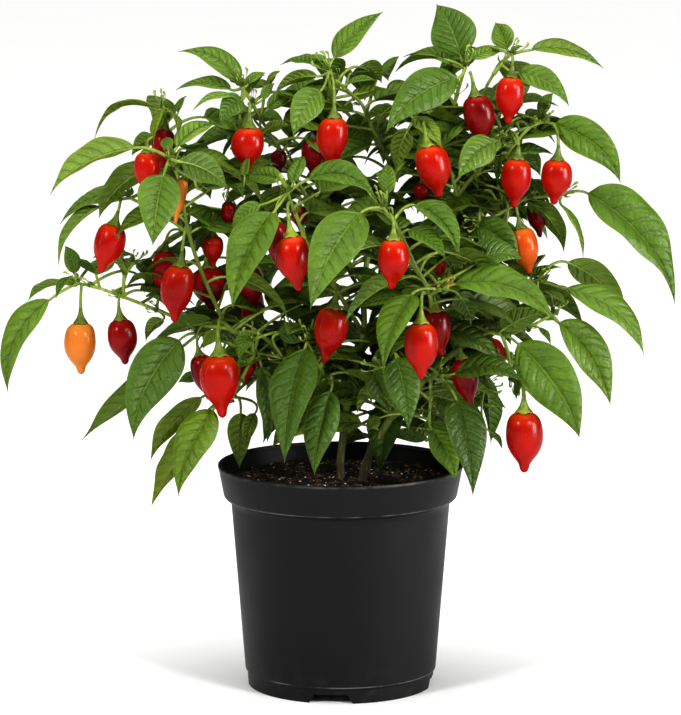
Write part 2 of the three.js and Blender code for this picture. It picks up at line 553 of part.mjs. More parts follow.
function makeSoil() {
  const shoulder = POT_HEIGHT - COLLAR_HEIGHT;
  const inside = WALL + CLEARANCE;
  const wallAtTop = THREE.MathUtils.mapLinear(
    SOIL_TOP,
    shoulder + 2,
    POT_HEIGHT - RIM_BAND,
    COLLAR_FOOT_RADIUS - WALL,
    RIM_RADIUS - WALL - RIM_EASE / 2,
  );
  return solidOf(latheOf([
    [0, FLOOR_HEIGHT + inside],
    [BODY_FOOT_RADIUS - inside - SOIL_SLACK, FLOOR_HEIGHT + inside],
    [BODY_TOP_RADIUS - inside, shoulder - 2],
    [COLLAR_FOOT_RADIUS - inside - SOIL_SLACK, shoulder + 2 + 2 * SOIL_SLACK],
    [wallAtTop - CLEARANCE, SOIL_TOP],
    [RIM_RADIUS / 2, SOIL_TOP + SOIL_MOUND],
    [0, SOIL_TOP + SOIL_MOUND],
  ], POT_SIDES));
}

function makeStem(forks, rooms) {
  const lines = forks.map((fork, i) => ({
    points: fork.map(seen),
    radii: fork.map((row) => row[3]),
    sides: i === 0 ? STEM_SIDES : TWIG_SIDES,
  }));
  const forked = Manifold.union(lines.map(({ points, radii, sides }) => stemOf(points, radii, sides)));
  const stem = largest(keepOut(forked, rooms));
  rooms.push(...lines.map(({ points, radii, sides }) => roomOf(stemOf(points, radii, sides, CLEARANCE))));
  return stem;
}

function berryOf([, , , , topU, topV, tipU, tipV, width, near], grow = 0) {
  const top = seen([topU, topV, near]);
  const tip = seen([tipU, tipV, near]);
  const length = top.distanceTo(tip);
  const half = (width / 2) * ((VIEW_DISTANCE - near) / VIEW_DISTANCE);
  const down = tip.clone().sub(top).normalize();
  const aim = new THREE.Quaternion().setFromUnitVectors(UP, down);
  const outline = [
    ...CALYX_OUTLINE,
    ...BERRY_OUTLINE.map(([share, place]) => [share * half, place * length]),
  ].map(([radius, place], i, all) => [
    radius === 0 ? 0 : radius + grow,
    place + (i < 2 ? -grow : 0) + (i === all.length - 1 ? grow : 0),
  ]);
  return solidOf(latheOf(outline, BERRY_SIDES).applyQuaternion(aim).translate(top.x, top.y, top.z));
}

function pedicelOf([, u, v, near, topU, topV, tipU, tipV, , depth]) {
  const start = seen([u, v, near]);
  const top = seen([topU, topV, depth]);
  const down = seen([tipU, tipV, depth]).sub(top).normalize();
  const end = top.clone().addScaledVector(down, -PEDICEL_RISE);
  const bend = end.clone().addScaledVector(down, -PEDICEL_BEND * start.distanceTo(end));
  const curve = new THREE.QuadraticBezierCurve3(start, bend, end);
  const points = curve.getPoints(PEDICEL_STEPS);
  return stemOf(points, points.map(() => PEDICEL_RADIUS), PEDICEL_SIDES);
}

function makeShoot(lines, leaves, rooms, leafRooms) {
  const others = [...rooms, ...leafRooms];
  const solids = [];
  const add = (make) => {
    solids.push(make(0));
    leafRooms.push(roomOf(make(CLEARANCE)));
  };
  for (const points of lines) {
    add((grow) => stemOf(points, points.map(() => TWIG_RADIUS), TWIG_SIDES, grow));
  }
  for (const leaf of leaves) {
    const nearest = lines.flat().reduce(
      (best, point) => (point.distanceTo(leaf.base) < best.distanceTo(leaf.base) ? point : best),
    );
    const whole = { start: nearest, ...leaf };
    add((grow) => leafOf(whole, grow));
  }
  return largest(keepOut(Manifold.union(solids), others));
}

const part = new THREE.Group();

part.add(meshOf("pot", makePot(), BLACK_PLASTIC));

const stemRooms = [];
for (const [name, forks] of STEMS) {
  part.add(meshOf(name, makeStem(forks, stemRooms), GREEN_BARK));
}
part.add(meshOf("soil", largest(keepOut(makeSoil(), stemRooms)), DARK_SOIL));

// Berries take their room before the leaves do, and pedicels thread through what is left.
const berryRooms = FRUITS.map((fruit) => roomOf(berryOf(fruit, CLEARANCE)));
const leafRooms = [];
const shoots = [
  ...SHOOTS.map(([name, twigs, leaves]) => (
    { name, lines: twigs.map((twig) => twig.map(seen)), leaves: leaves.map(readLeaf) }
  )),
  ...BACK_SHOOTS.map(([name, ...climbing]) => ({ name, ...climb(...climbing) })),
];
for (const { name, lines, leaves } of shoots) {
  part.add(meshOf(name, makeShoot(lines, leaves, [...stemRooms, ...berryRooms], leafRooms), LEAF_GREEN));
}
FRUITS.forEach((fruit, i) => {
  const earlier = berryRooms.slice(0, i);
  const berry = keepOut(berryOf(fruit), [...stemRooms, ...earlier]);
  const others = berryRooms.filter((room, other) => other !== i);
  const pedicel = keepOut(pedicelOf(fruit), [...stemRooms, ...others, ...leafRooms]);
  part.add(meshOf(fruit[0], largest(berry.add(pedicel)), FRUIT_COLOURS[fruit.at(-1)]));
});

export default part;
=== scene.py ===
# %% [markdown]
# # A potted chilli pepper plant
#
# The piece is a young chilli plant in a black nursery pot. Three woody stems fork into leafy shoots, and
# small teardrop fruits hang from them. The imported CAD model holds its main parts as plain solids. This
# lesson makes a finer part in the place of each, adds smaller ones, and gives each its own finish.
#
# Lengths are worked out in millimetres and turned into metres when a mesh is made.

import json
import math

import bmesh
import bpy
import numpy as np
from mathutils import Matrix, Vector, noise

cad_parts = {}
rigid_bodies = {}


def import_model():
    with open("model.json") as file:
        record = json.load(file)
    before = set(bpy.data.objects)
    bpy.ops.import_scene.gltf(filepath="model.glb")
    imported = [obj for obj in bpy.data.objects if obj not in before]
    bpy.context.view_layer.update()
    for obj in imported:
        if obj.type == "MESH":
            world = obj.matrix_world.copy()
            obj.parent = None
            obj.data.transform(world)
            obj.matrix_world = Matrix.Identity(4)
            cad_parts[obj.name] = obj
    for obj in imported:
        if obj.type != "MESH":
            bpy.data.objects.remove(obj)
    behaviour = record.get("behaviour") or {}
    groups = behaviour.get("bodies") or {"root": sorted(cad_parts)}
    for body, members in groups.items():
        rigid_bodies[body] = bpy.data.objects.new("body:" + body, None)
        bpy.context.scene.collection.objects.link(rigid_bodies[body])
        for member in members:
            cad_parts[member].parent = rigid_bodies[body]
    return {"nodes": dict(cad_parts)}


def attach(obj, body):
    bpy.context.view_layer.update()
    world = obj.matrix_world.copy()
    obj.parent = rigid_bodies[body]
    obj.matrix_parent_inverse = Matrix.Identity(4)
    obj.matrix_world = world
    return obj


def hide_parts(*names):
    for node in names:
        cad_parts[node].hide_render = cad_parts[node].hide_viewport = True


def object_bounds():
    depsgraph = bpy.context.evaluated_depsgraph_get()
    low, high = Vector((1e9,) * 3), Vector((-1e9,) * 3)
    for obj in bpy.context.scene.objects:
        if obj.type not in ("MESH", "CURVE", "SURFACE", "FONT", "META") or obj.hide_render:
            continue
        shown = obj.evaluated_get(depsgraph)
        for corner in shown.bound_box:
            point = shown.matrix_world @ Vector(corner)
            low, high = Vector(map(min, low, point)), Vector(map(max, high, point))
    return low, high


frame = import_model()
cad_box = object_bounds()
MM = 0.001
UP = np.array([0.0, 0.0, 1.0])
RIGHT = np.array([1.0, 0.0, 0.0])
rounded_box = [[round(x, 4) for x in corner] for corner in cad_box]
print("CAD nodes:", len(frame["nodes"]), "box in metres:", rounded_box)

# %% [markdown]
# ## Camera
#
# A product photograph is taken from well back with a long lens, so that near and far leaves keep their
# sizes. The lens length follows from the picture: how many pixels across one unit of distance is one unit
# away.

# %% Camera
PICTURE_HEIGHT = 715
FOCAL_PIXELS = 3657
SENSOR = 36.0
VIEW_DISTANCE = 2200
VIEW_HEIGHT = 552
VIEW_PITCH = 9.03

camera_data = bpy.data.cameras.new("camera")
camera_data.sensor_width = SENSOR
camera_data.lens = SENSOR * FOCAL_PIXELS / PICTURE_HEIGHT
camera = bpy.data.objects.new("camera", camera_data)
camera.location = (0, -VIEW_DISTANCE * MM, VIEW_HEIGHT * MM)
camera.rotation_euler = (math.radians(90 - VIEW_PITCH), 0, 0)
bpy.context.scene.collection.objects.link(camera)
bpy.context.scene.camera = camera
print("lens:", round(camera_data.lens, 1), "mm")

# %% [markdown]
# ## Materials as graphs
#
# Every finish here is a small graph of nodes. Helpers keep the graphs readable: `wire` adds a node and
# joins its inputs, `sums` does sums on numbers, `mixed` mixes colours, and the rest read a pattern, a map
# or a leaf's tone. A number that is the same all over a surface stays on the shader's own socket.

# %% Helpers for node graphs
def wire(tree, kind, inputs=None, **settings):
    """Adds a node, sets its options, and joins or fills its inputs."""
    node = tree.nodes.new(kind)
    for key, value in settings.items():
        setattr(node, key, value)
    for key, value in (inputs or {}).items():
        if isinstance(value, bpy.types.NodeSocket):
            tree.links.new(value, node.inputs[key])
        else:
            node.inputs[key].default_value = value
    return node


def sums(tree, operation, *values):
    """One sum on numbers, such as ADD or MULTIPLY."""
    return wire(tree, "ShaderNodeMath", dict(enumerate(values)), operation=operation).outputs[0]


def spread(tree, value, low, high, out_low=0.0, out_high=1.0):
    """Eases a number from one range to another."""
    inputs = {0: value, 1: low, 2: high, 3: out_low, 4: out_high}
    return wire(tree, "ShaderNodeMapRange", inputs, interpolation_type="SMOOTHSTEP").outputs[0]


def mixed(tree, factor, first, second):
    """Mixes two colours."""
    inputs = {0: factor, 6: first, 7: second}
    return wire(tree, "ShaderNodeMix", inputs, data_type="RGBA", clamp_factor=True).outputs[2]


def speckle(tree, place, scale, detail=3.0, rough=0.55):
    """A cloudy pattern, as a number about 0.5."""
    inputs = {"Vector": place, "Scale": scale, "Detail": detail, "Roughness": rough}
    return wire(tree, "ShaderNodeTexNoise", inputs).outputs["Fac"]


def bumped(tree, height, strength, distance):
    """Relief from a number, with its depth in metres."""
    inputs = {"Strength": strength, "Distance": distance, "Height": height}
    return wire(tree, "ShaderNodeBump", inputs).outputs["Normal"]


def split(tree, vector):
    """A vector's three numbers, by the names X, Y and Z."""
    return wire(tree, "ShaderNodeSeparateXYZ", {0: vector}).outputs


def own_map(tree):
    """A place on the piece's own map, as X and Y."""
    return split(tree, wire(tree, "ShaderNodeUVMap", uv_map="UVMap").outputs[0])


def own_look(tree):
    """A leaf's or cup's brightness, which partly paints its light and shade, as X, and its yellowing, as Y."""
    return split(tree, wire(tree, "ShaderNodeAttribute", attribute_name="leaf_look").outputs["Vector"])


def new_finish(name):
    """An empty material, its output and a place on the object."""
    material = bpy.data.materials.new(name)
    material.use_nodes = True
    tree = material.node_tree
    tree.nodes.clear()
    output = wire(tree, "ShaderNodeOutputMaterial")
    place = wire(tree, "ShaderNodeTexCoord").outputs["Object"]
    return material, tree, output, place


def skin(tree, output, inputs):
    """Puts a Principled shader on the output."""
    shader = wire(tree, "ShaderNodeBsdfPrincipled", inputs)
    tree.links.new(shader.outputs[0], output.inputs["Surface"])


def rgb(red, green, blue):
    return (red, green, blue, 1.0)


# %% [markdown]
# ## Floor and light
#
# The plant stands on a pale studio floor that runs far back, so no horizon shows. A dim white surround
# fills the shadows, and one wide soft light overhead whitens the floor. Two softboxes in front put the
# highlights on the fruits. A tall strip at each side draws the pot's edge, and shows only in gloss, so it
# casts no shadow on the floor. Gloss would mirror the surround as a grey haze over every fruit, so
# reflected rays see it dimmer.

# %% Floor and light
FLOOR_HALF = 30.0
SURROUND = 0.4
SURROUND_IN_GLOSS = 0.1
OVERHEAD = 2.25
OVERHEAD_WIDTH = 60
OVERHEAD_TILT = -5
CONTRAST = 0.8
SOFTBOXES = [
    # name, place, width, height, power, whether it lights more than gloss
    ("right_softbox", (1.4, -1.55, 1.3), 0.5, 0.5, 42, True),
    ("left_softbox", (-1.45, -1.5, 1.4), 0.45, 0.45, 32, True),
    ("left_strip", (-1.9, -0.4, 0.75), 0.12, 1.0, 3, False),
    ("right_strip", (1.9, -0.75, 0.55), 0.75, 1.0, 72, False),
]
AIM = Vector((0, 0, 0.26))


def add_softbox(name, place, width, height, power, lights_all):
    light = bpy.data.lights.new(name, "AREA")
    light.shape = "RECTANGLE"
    light.size = width
    light.size_y = height
    light.energy = power
    lamp = bpy.data.objects.new(name, light)
    lamp.location = place
    lamp.visible_diffuse = lights_all
    lamp.rotation_euler = (AIM - Vector(place)).to_track_quat("-Z", "Y").to_euler()
    bpy.context.scene.collection.objects.link(lamp)


for row in SOFTBOXES:
    add_softbox(*row)

overhead = bpy.data.lights.new("overhead", "SUN")
overhead.energy = OVERHEAD
overhead.angle = math.radians(OVERHEAD_WIDTH)
overhead_lamp = bpy.data.objects.new("overhead", overhead)
overhead_lamp.rotation_euler = (math.radians(OVERHEAD_TILT), 0, 0)
bpy.context.scene.collection.objects.link(overhead_lamp)

world = bpy.data.worlds.new("studio")
world.use_nodes = True
world.node_tree.nodes["Background"].inputs["Color"].default_value = rgb(1.0, 1.0, 1.0)
mirrored = wire(world.node_tree, "ShaderNodeLightPath").outputs["Is Glossy Ray"]
brightness = sums(world.node_tree, "MULTIPLY_ADD", mirrored, SURROUND_IN_GLOSS - SURROUND, SURROUND)
world.node_tree.links.new(brightness, world.node_tree.nodes["Background"].inputs["Strength"])
bpy.context.scene.world = world
bpy.context.scene.view_settings.view_transform = "Standard"
bpy.context.scene.view_settings.gamma = CONTRAST

floor_mesh = bpy.data.meshes.new("floor")
corners = [(x * FLOOR_HALF, y * FLOOR_HALF, 0) for x, y in ((-1, -1), (1, -1), (1, 1), (-1, 1))]
floor_mesh.from_pydata(corners, [], [(0, 1, 2, 3)])
floor = bpy.data.objects.new("floor", floor_mesh)
bpy.context.scene.collection.objects.link(floor)

floor_paper, tree, output, place = new_finish("floor_paper")
tone = mixed(tree, speckle(tree, place, 3.0), rgb(0.9, 0.9, 0.895), rgb(0.92, 0.92, 0.915))
skin(tree, output, {"Base Color": tone, "Roughness": 0.8, "Specular IOR Level": 0.1})
floor_mesh.materials.append(floor_paper)
print("softboxes:", len(SOFTBOXES))

# %% [markdown]
# ## Pot
#
# A nursery pot is moulded in thin black plastic: a collar to lift it by, a tapered wall and a short foot with
# gaps that let water out. It is a turned shape, so one outline swept round the axis makes it. The outline's
# corners are eased, because moulded plastic has none that are sharp, and the gaps are cut out afterwards.

# %% Helpers for turned shapes
LONGEST_EASE = 0.45  # the most of either side that a rounded corner takes up


def eased(outline, steps=4):
    """Rounds the corners of an outline of (radius, height, corner radius)."""
    points = [np.array(row[:2], float) for row in outline]
    smooth = [points[0]]
    for i in range(1, len(points) - 1):
        corner, reach = points[i], outline[i][2]
        before, after = points[i - 1] - corner, points[i + 1] - corner
        lengths = np.linalg.norm(before), np.linalg.norm(after)
        reach = min(reach, LONGEST_EASE * lengths[0], LONGEST_EASE * lengths[1])
        start, end = corner + before / lengths[0] * reach, corner + after / lengths[1] * reach
        if reach == 0:
            smooth.append(corner)
            continue
        for t in np.linspace(0, 1, steps):
            smooth.append((1 - t) ** 2 * start + 2 * t * (1 - t) * corner + t * t * end)
    smooth.append(points[-1])
    return smooth


def bridged(shape, rings):
    """Adds the faces from each ring of points to the next. A ring of one point closes a pole."""
    for low, high in zip(rings, rings[1:]):
        for k in range(max(len(low), len(high))):
            after = k + 1
            ends = [low[k % len(low)], low[after % len(low)], high[after % len(high)], high[k % len(high)]]
            shape.faces.new(list(dict.fromkeys(ends)))


def closed_mesh(name, shape):
    """A mesh from a closed bmesh, with its faces turned outwards."""
    bmesh.ops.recalc_face_normals(shape, faces=shape.faces)
    mesh = bpy.data.meshes.new(name)
    shape.to_mesh(mesh)
    shape.free()
    return mesh


def turned(name, outline, sides):
    """Sweeps an outline that starts and ends on the axis round it, into one closed mesh."""
    shape = bmesh.new()
    rings = []
    for radius, height in outline:
        if radius < 1e-6:
            rings.append([shape.verts.new((0, 0, height * MM))])
            continue
        turns = (2 * math.pi * k / sides for k in range(sides))
        rings.append([
            shape.verts.new((radius * MM * math.cos(a), radius * MM * math.sin(a), height * MM)) for a in turns
        ])
    bridged(shape, rings)
    return closed_mesh(name, shape)


def placed(name, mesh, *materials):
    """An object at the origin that holds the mesh."""
    piece = bpy.data.objects.new(name, mesh)
    bpy.context.scene.collection.objects.link(piece)
    for material in materials:
        mesh.materials.append(material)
    return piece


def known(name):
    """The CAD node of that name in a list, or an empty list for a piece that the CAD model doesn't have."""
    return [name] if name in frame["nodes"] else []


def joined_in(piece, slot, *nodes):
    """Puts a finished piece into the object, in place of any CAD nodes that it stands for."""
    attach(piece, "root")
    if nodes:
        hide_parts(*nodes)
    return piece


# %% Pot wall
POT_HEIGHT = 137
RIM_RADIUS = 75
WALL = 1.4
COLLAR_FOOT = 116.5
COLLAR_FOOT_RADIUS = 71.3
BODY_TOP_RADIUS = 66.8
BODY_FOOT_RADIUS = 58.6
SKIRT_RADIUS = 57
SKIRT_HEIGHT = 8.5
FLOOR_HEIGHT = 6.6
POT_SIDES = 144
POT_OUTLINE = [
    (0, FLOOR_HEIGHT, 0),
    (SKIRT_RADIUS - 2 * WALL, FLOOR_HEIGHT, 0.6),
    (SKIRT_RADIUS - 2 * WALL, 0, 0.3),
    (SKIRT_RADIUS, 0, 0.5),
    (SKIRT_RADIUS + 0.3, SKIRT_HEIGHT, 0.3),
    (BODY_FOOT_RADIUS, SKIRT_HEIGHT + 1, 0.7),
    (BODY_TOP_RADIUS, COLLAR_FOOT - 4, 3),
    (BODY_TOP_RADIUS + 1, COLLAR_FOOT - 1.4, 1.5),
    (COLLAR_FOOT_RADIUS, COLLAR_FOOT + 0.5, 2.4),
    (RIM_RADIUS - 0.5, POT_HEIGHT - 3, 1),
    (RIM_RADIUS, POT_HEIGHT - 1.9, 0.7),
    (RIM_RADIUS, POT_HEIGHT, 0.9),
    (RIM_RADIUS - 1.9, POT_HEIGHT, 0.8),
    (RIM_RADIUS - WALL - 0.6, POT_HEIGHT - 3, 1),
    (COLLAR_FOOT_RADIUS - WALL, COLLAR_FOOT + 2, 1.5),
    (BODY_TOP_RADIUS - WALL, COLLAR_FOOT - 2, 1.5),
    (BODY_FOOT_RADIUS - WALL, FLOOR_HEIGHT + WALL, 1.5),
    (0, FLOOR_HEIGHT + WALL, 0),
]

pot = placed("nursery_pot", turned("nursery_pot", eased(POT_OUTLINE), POT_SIDES))
print("pot outline:", len(eased(POT_OUTLINE)), "points,", POT_SIDES, "sides")

# %% Gaps in the foot and drain holes
NOTCH_COUNT = 4
NOTCH_TURN = -96
NOTCH_WIDTH = 28
NOTCH_HEIGHT = 5.5
NOTCH_SLANT = 4
NOTCH_CUT = 14
DRAIN_RADIUS = 4
DRAIN_RING = 44
DRAIN_CUT = 6


def prism(shape, outline, lift, turn):
    """Adds a closed prism over a flat outline to a bmesh. lift turns (across, up, depth) into a place."""
    ends = []
    for depth in (0, 1):
        ends.append([shape.verts.new(Vector(lift(x, z, depth)) * MM) for x, z in outline])
        for vertex in ends[-1]:
            x, y, z = vertex.co
            vertex.co = (x * math.cos(turn) - y * math.sin(turn), x * math.sin(turn) + y * math.cos(turn), z)
    shape.faces.new(ends[0])
    shape.faces.new(list(reversed(ends[1])))
    for k in range(len(outline)):
        after = (k + 1) % len(outline)
        shape.faces.new([ends[0][after], ends[0][k], ends[1][k], ends[1][after]])


cutter_shape = bmesh.new()
half, slant = NOTCH_WIDTH / 2, NOTCH_SLANT
notch = [(-half, -1), (half, -1), (half - slant, NOTCH_HEIGHT), (slant - half, NOTCH_HEIGHT)]
circle = [
    (DRAIN_RADIUS * math.cos(a), DRAIN_RADIUS * math.sin(a)) for a in np.linspace(0, 2 * math.pi, 25)[:-1]
]
for i in range(NOTCH_COUNT):
    turn = math.radians(NOTCH_TURN + 360 / NOTCH_COUNT * i)
    prism(cutter_shape, notch, lambda x, z, depth: (SKIRT_RADIUS + NOTCH_CUT * (depth - 0.5), x, z), turn)
    prism(
        cutter_shape, circle,
        lambda x, z, depth: (DRAIN_RING + x, z, FLOOR_HEIGHT - 2 + DRAIN_CUT * depth), turn,
    )
cutter = placed("cutter", closed_mesh("cutter", cutter_shape))


def settled(piece):
    """Turns a piece's modifiers into plain mesh."""
    graph = bpy.context.evaluated_depsgraph_get()
    result = bpy.data.meshes.new_from_object(
        piece.evaluated_get(graph), preserve_all_data_layers=True, depsgraph=graph
    )
    result.name = piece.name
    piece.modifiers.clear()
    piece.data = result
    return piece


cut = pot.modifiers.new("gaps", "BOOLEAN")
cut.operation = "DIFFERENCE"
cut.solver = "EXACT"
cut.object = cutter
settled(pot)
bpy.data.objects.remove(cutter)
pot.data.polygons.foreach_set("use_smooth", [True] * len(pot.data.polygons))
pot.data.set_sharp_from_angle(angle=math.radians(38))
print("pot faces after cutting:", len(pot.data.polygons))

# %% [markdown]
# ### Pot finish
#
# Recycled black plastic is satin and never quite even: the mould leaves a fine grain and faint clouds in the
# gloss, and dust settles near the foot. Pale lines along the rim and two edges are painted highlights, where
# those edges catch the light, broken in places like rubbed plastic. Noise at several sizes gives the grain,
# the clouds, the dust and the breaks in the painted highlight lines, which are three bands of height.

# %% Pot finish
# Painted highlights: the pale lines below are painted where the rim and two edges catch the light, and look
# rubbed.
PAINTED_EDGE_HIGHLIGHTS = [  # height, depth of the rubbed line, strength
    (POT_HEIGHT - 1.2, 1.2, 0.35), (COLLAR_FOOT + 0.8, 0.7, 0.5), (SKIRT_HEIGHT + 1.6, 0.6, 0.7),
]
DUST_HEIGHT = 30
black_plastic, tree, output, place = new_finish("black_plastic")
height = split(tree, place)["Z"]
clouds = speckle(tree, place, 14.0, 4.0)
grain = speckle(tree, place, 1500.0, 2.0)
low_down = spread(tree, height, DUST_HEIGHT * MM, 0.0)
dust = sums(tree, "MULTIPLY", low_down, spread(tree, speckle(tree, place, 90.0), 0.45, 0.75))
colour = mixed(tree, clouds, rgb(0.0052, 0.0053, 0.0057), rgb(0.0092, 0.0092, 0.0098))
colour = mixed(tree, sums(tree, "MULTIPLY", dust, 0.35), colour, rgb(0.05, 0.045, 0.04))
# Painted highlights: each edge gets a pale line in the colour, broken by noise.
for edge, depth, shine in PAINTED_EDGE_HIGHLIGHTS:
    line = spread(tree, sums(tree, "ABSOLUTE", sums(tree, "SUBTRACT", height, edge * MM)), depth * MM, 0.0)
    breaks = spread(tree, speckle(tree, place, 60.0, 4.0), 0.38, 0.62, 0.0, shine)
    colour = mixed(tree, sums(tree, "MULTIPLY", line, breaks), colour, rgb(0.2, 0.2, 0.2))
skin(tree, output, {
    "Base Color": colour,
    "Roughness": spread(tree, clouds, 0.3, 0.7, 0.38, 0.52),
    "Specular IOR Level": 0.17,
    "Normal": bumped(tree, grain, 0.25, 0.0002),
})
pot.data.materials.append(black_plastic)
joined_in(pot, "pot", "pot")
print("pot finish:", black_plastic.name)

# %% [markdown]
# ## Compost
#
# The pot is filled with dark peaty compost that is slightly mounded and crumbly. A flat lid would look like
# paint, so the surface is a closed mesh with its top pushed up and down by noise. Bark chips, crumbs, pale
# grains and fibres then lie on it, spread by one Geometry Nodes tree that is used four times.

# %% Compost body
SOIL_TOP = 126
SOIL_MOUND = 2
SOIL_RADIUS = 71.2
SOIL_SIDES = 180
SOIL_RINGS = 54
SOIL_LUMPS = 1.3
SOIL_CRUMBS = 1.15
SOIL_WALL = [(69.6, 118.7), (65.0, 114.5), (56.8, 8.4)]


def soil_height(x, y):
    """The compost's height at a place in mm."""
    share = min(1.0, math.hypot(x, y) / SOIL_RADIUS)
    lumps = noise.fractal(Vector((x * 0.05, y * 0.05, 3.1)), 1.0, 2.0, 4)
    crumbs = noise.fractal(Vector((x * 0.23, y * 0.23, 7.7)), 0.9, 2.1, 4)
    settle = 1.0 if share < 0.96 else max(0.0, (1 - share) / 0.04)
    return SOIL_TOP + SOIL_MOUND * (1 - share * share) + (SOIL_LUMPS * lumps + SOIL_CRUMBS * crumbs) * settle


soil_points = [(0.0, 0.0, soil_height(0, 0))]
soil_rings = [(SOIL_RADIUS * ring / SOIL_RINGS, None) for ring in range(1, SOIL_RINGS + 1)] + SOIL_WALL
for radius, z in soil_rings:
    for k in range(SOIL_SIDES):
        turn = 2 * math.pi * k / SOIL_SIDES
        x, y = radius * math.cos(turn), radius * math.sin(turn)
        soil_points.append((x, y, soil_height(x, y) if z is None else z))
soil_faces = []
last_ring = len(soil_rings) - 1
for k in range(SOIL_SIDES):
    after = (k + 1) % SOIL_SIDES
    soil_faces.append((0, 1 + k, 1 + after))
    for ring in range(last_ring):
        low, high = 1 + ring * SOIL_SIDES, 1 + (ring + 1) * SOIL_SIDES
        soil_faces.append((low + k, high + k, high + after, low + after))
soil_faces.append([1 + last_ring * SOIL_SIDES + k for k in reversed(range(SOIL_SIDES))])
soil_mesh = bpy.data.meshes.new("compost")
soil_mesh.from_pydata((np.array(soil_points) * MM).tolist(), [], soil_faces)
soil_mesh.polygons.foreach_set("use_smooth", [True] * len(soil_faces))
print("compost top:", SOIL_RINGS * SOIL_SIDES, "faces")

# %% Compost finish
compost, tree, output, place = new_finish("compost")
crumb = wire(tree, "ShaderNodeTexVoronoi", {"Vector": place, "Scale": 420.0}).outputs["Color"]
crumb_shade = wire(tree, "ShaderNodeSeparateColor", {0: crumb}).outputs[0]
patches = speckle(tree, place, 70.0, 5.0, 0.65)
fine = speckle(tree, place, 900.0, 3.0)
colour = mixed(tree, patches, rgb(0.0024, 0.0018, 0.0013), rgb(0.016, 0.0105, 0.0065))
colour = mixed(tree, spread(tree, crumb_shade, 0.76, 0.97), colour, rgb(0.13, 0.08, 0.042))
colour = mixed(tree, spread(tree, crumb_shade, 0.25, 0.05), colour, rgb(0.002, 0.0014, 0.001))
relief = sums(tree, "ADD", crumb_shade, sums(tree, "ADD", patches, fine))
skin(tree, output, {
    "Base Color": colour,
    "Roughness": spread(tree, crumb_shade, 0.0, 1.0, 0.7, 0.95),
    "Specular IOR Level": 0.25,
    "Normal": bumped(tree, relief, 0.7, 0.0009),
})
soil = placed("compost", soil_mesh, compost)
joined_in(soil, "soil", "soil")

# %% [markdown]
# ### Geometry Nodes, started from code
#
# A node tree is a recipe with named inputs. `new_recipe` starts one, and `cooked` runs it on a mesh and keeps
# the result as a plain mesh, so that nothing live is left on the piece.

# %% Helpers for Geometry Nodes
def new_recipe(name, **inputs):
    """Starts a tree with a geometry input and more named ones, each (socket type, default)."""
    tree = bpy.data.node_groups.new(name, "GeometryNodeTree")
    tree.interface.new_socket(name="Geometry", in_out="INPUT", socket_type="NodeSocketGeometry")
    for label, (kind, default) in inputs.items():
        socket = tree.interface.new_socket(name=label, in_out="INPUT", socket_type="NodeSocket" + kind)
        if default is not None:
            socket.default_value = default
    tree.interface.new_socket(name="Geometry", in_out="OUTPUT", socket_type="NodeSocketGeometry")
    return tree, wire(tree, "NodeGroupInput").outputs, wire(tree, "NodeGroupOutput")


def chance_of(tree, low, high, seed):
    """A chance number between two values."""
    inputs = {2: low, 3: high, "Seed": seed}
    return wire(tree, "FunctionNodeRandomValue", inputs, data_type="FLOAT").outputs[1]


def stored(tree, name, kind="FLOAT"):
    """What a named attribute holds at each point."""
    return wire(tree, "GeometryNodeInputNamedAttribute", {"Name": name}, data_type=kind).outputs["Attribute"]


def finish_recipe(tree, geometry, material, output):
    """Ends a tree: real geometry, smooth faces and its material."""
    real = wire(tree, "GeometryNodeRealizeInstances", {0: geometry}).outputs[0]
    smooth = wire(tree, "GeometryNodeSetShadeSmooth", {0: real}).outputs[0]
    coated = wire(tree, "GeometryNodeSetMaterial", {"Geometry": smooth, "Material": material}).outputs[0]
    tree.links.new(coated, output.inputs[0])


def cooked(name, mesh, recipe, materials=(), **values):
    """Runs a tree on a mesh and gives an object that holds the result."""
    piece = placed(name, mesh, *materials)
    step = piece.modifiers.new("recipe", "NODES")
    step.node_group = recipe
    for item in recipe.interface.items_tree:
        if item.in_out == "INPUT" and item.name in values:
            step[item.identifier] = values[item.name]
    settled(piece)
    bpy.data.meshes.remove(mesh)
    return piece


# %% Recipe for bits that lie on the compost
litter_recipe, given, output = new_recipe(
    "litter", chip=("Object", None), density=("Float", 1000.0), smallest=("Float", 0.5),
    largest=("Float", 1.5), reach=("Float", 0.069), seed=("Int", 1), material=("Material", None),
)
tree = litter_recipe
normal = wire(tree, "GeometryNodeInputNormal").outputs[0]
position = wire(tree, "GeometryNodeInputPosition").outputs[0]
flat = wire(tree, "ShaderNodeVectorMath", {0: position, 1: (1, 1, 0)}, operation="MULTIPLY").outputs[0]
radius = wire(tree, "ShaderNodeVectorMath", {0: flat}, operation="LENGTH").outputs["Value"]
inside = wire(tree, "FunctionNodeCompare", {0: radius, 1: given["reach"]}, operation="LESS_THAN").outputs[0]
upward = split(tree, normal)["Z"]
facing = wire(tree, "FunctionNodeCompare", {0: upward, 1: 0.4}, operation="GREATER_THAN").outputs[0]
chosen = wire(tree, "FunctionNodeBooleanMath", {0: inside, 1: facing}, operation="AND").outputs[0]
points = wire(tree, "GeometryNodeDistributePointsOnFaces", {
    "Mesh": given["Geometry"], "Selection": chosen, "Density": given["density"], "Seed": given["seed"],
})
spin = wire(tree, "FunctionNodeRandomValue", {
    0: (-0.5, -0.5, -3.14), 1: (0.5, 0.5, 3.14), "Seed": given["seed"],
}, data_type="FLOAT_VECTOR").outputs[0]
turn = wire(tree, "FunctionNodeEulerToRotation", {0: spin}).outputs[0]
size = chance_of(tree, given["smallest"], given["largest"], given["seed"])
bits = wire(tree, "GeometryNodeObjectInfo", {"Object": given["chip"]}).outputs["Geometry"]
scattered = wire(tree, "GeometryNodeInstanceOnPoints", {
    "Points": points.outputs["Points"], "Instance": bits, "Rotation": turn, "Scale": size,
}).outputs[0]
finish_recipe(tree, scattered, given["material"], output)
print("litter recipe:", len(tree.nodes), "nodes")


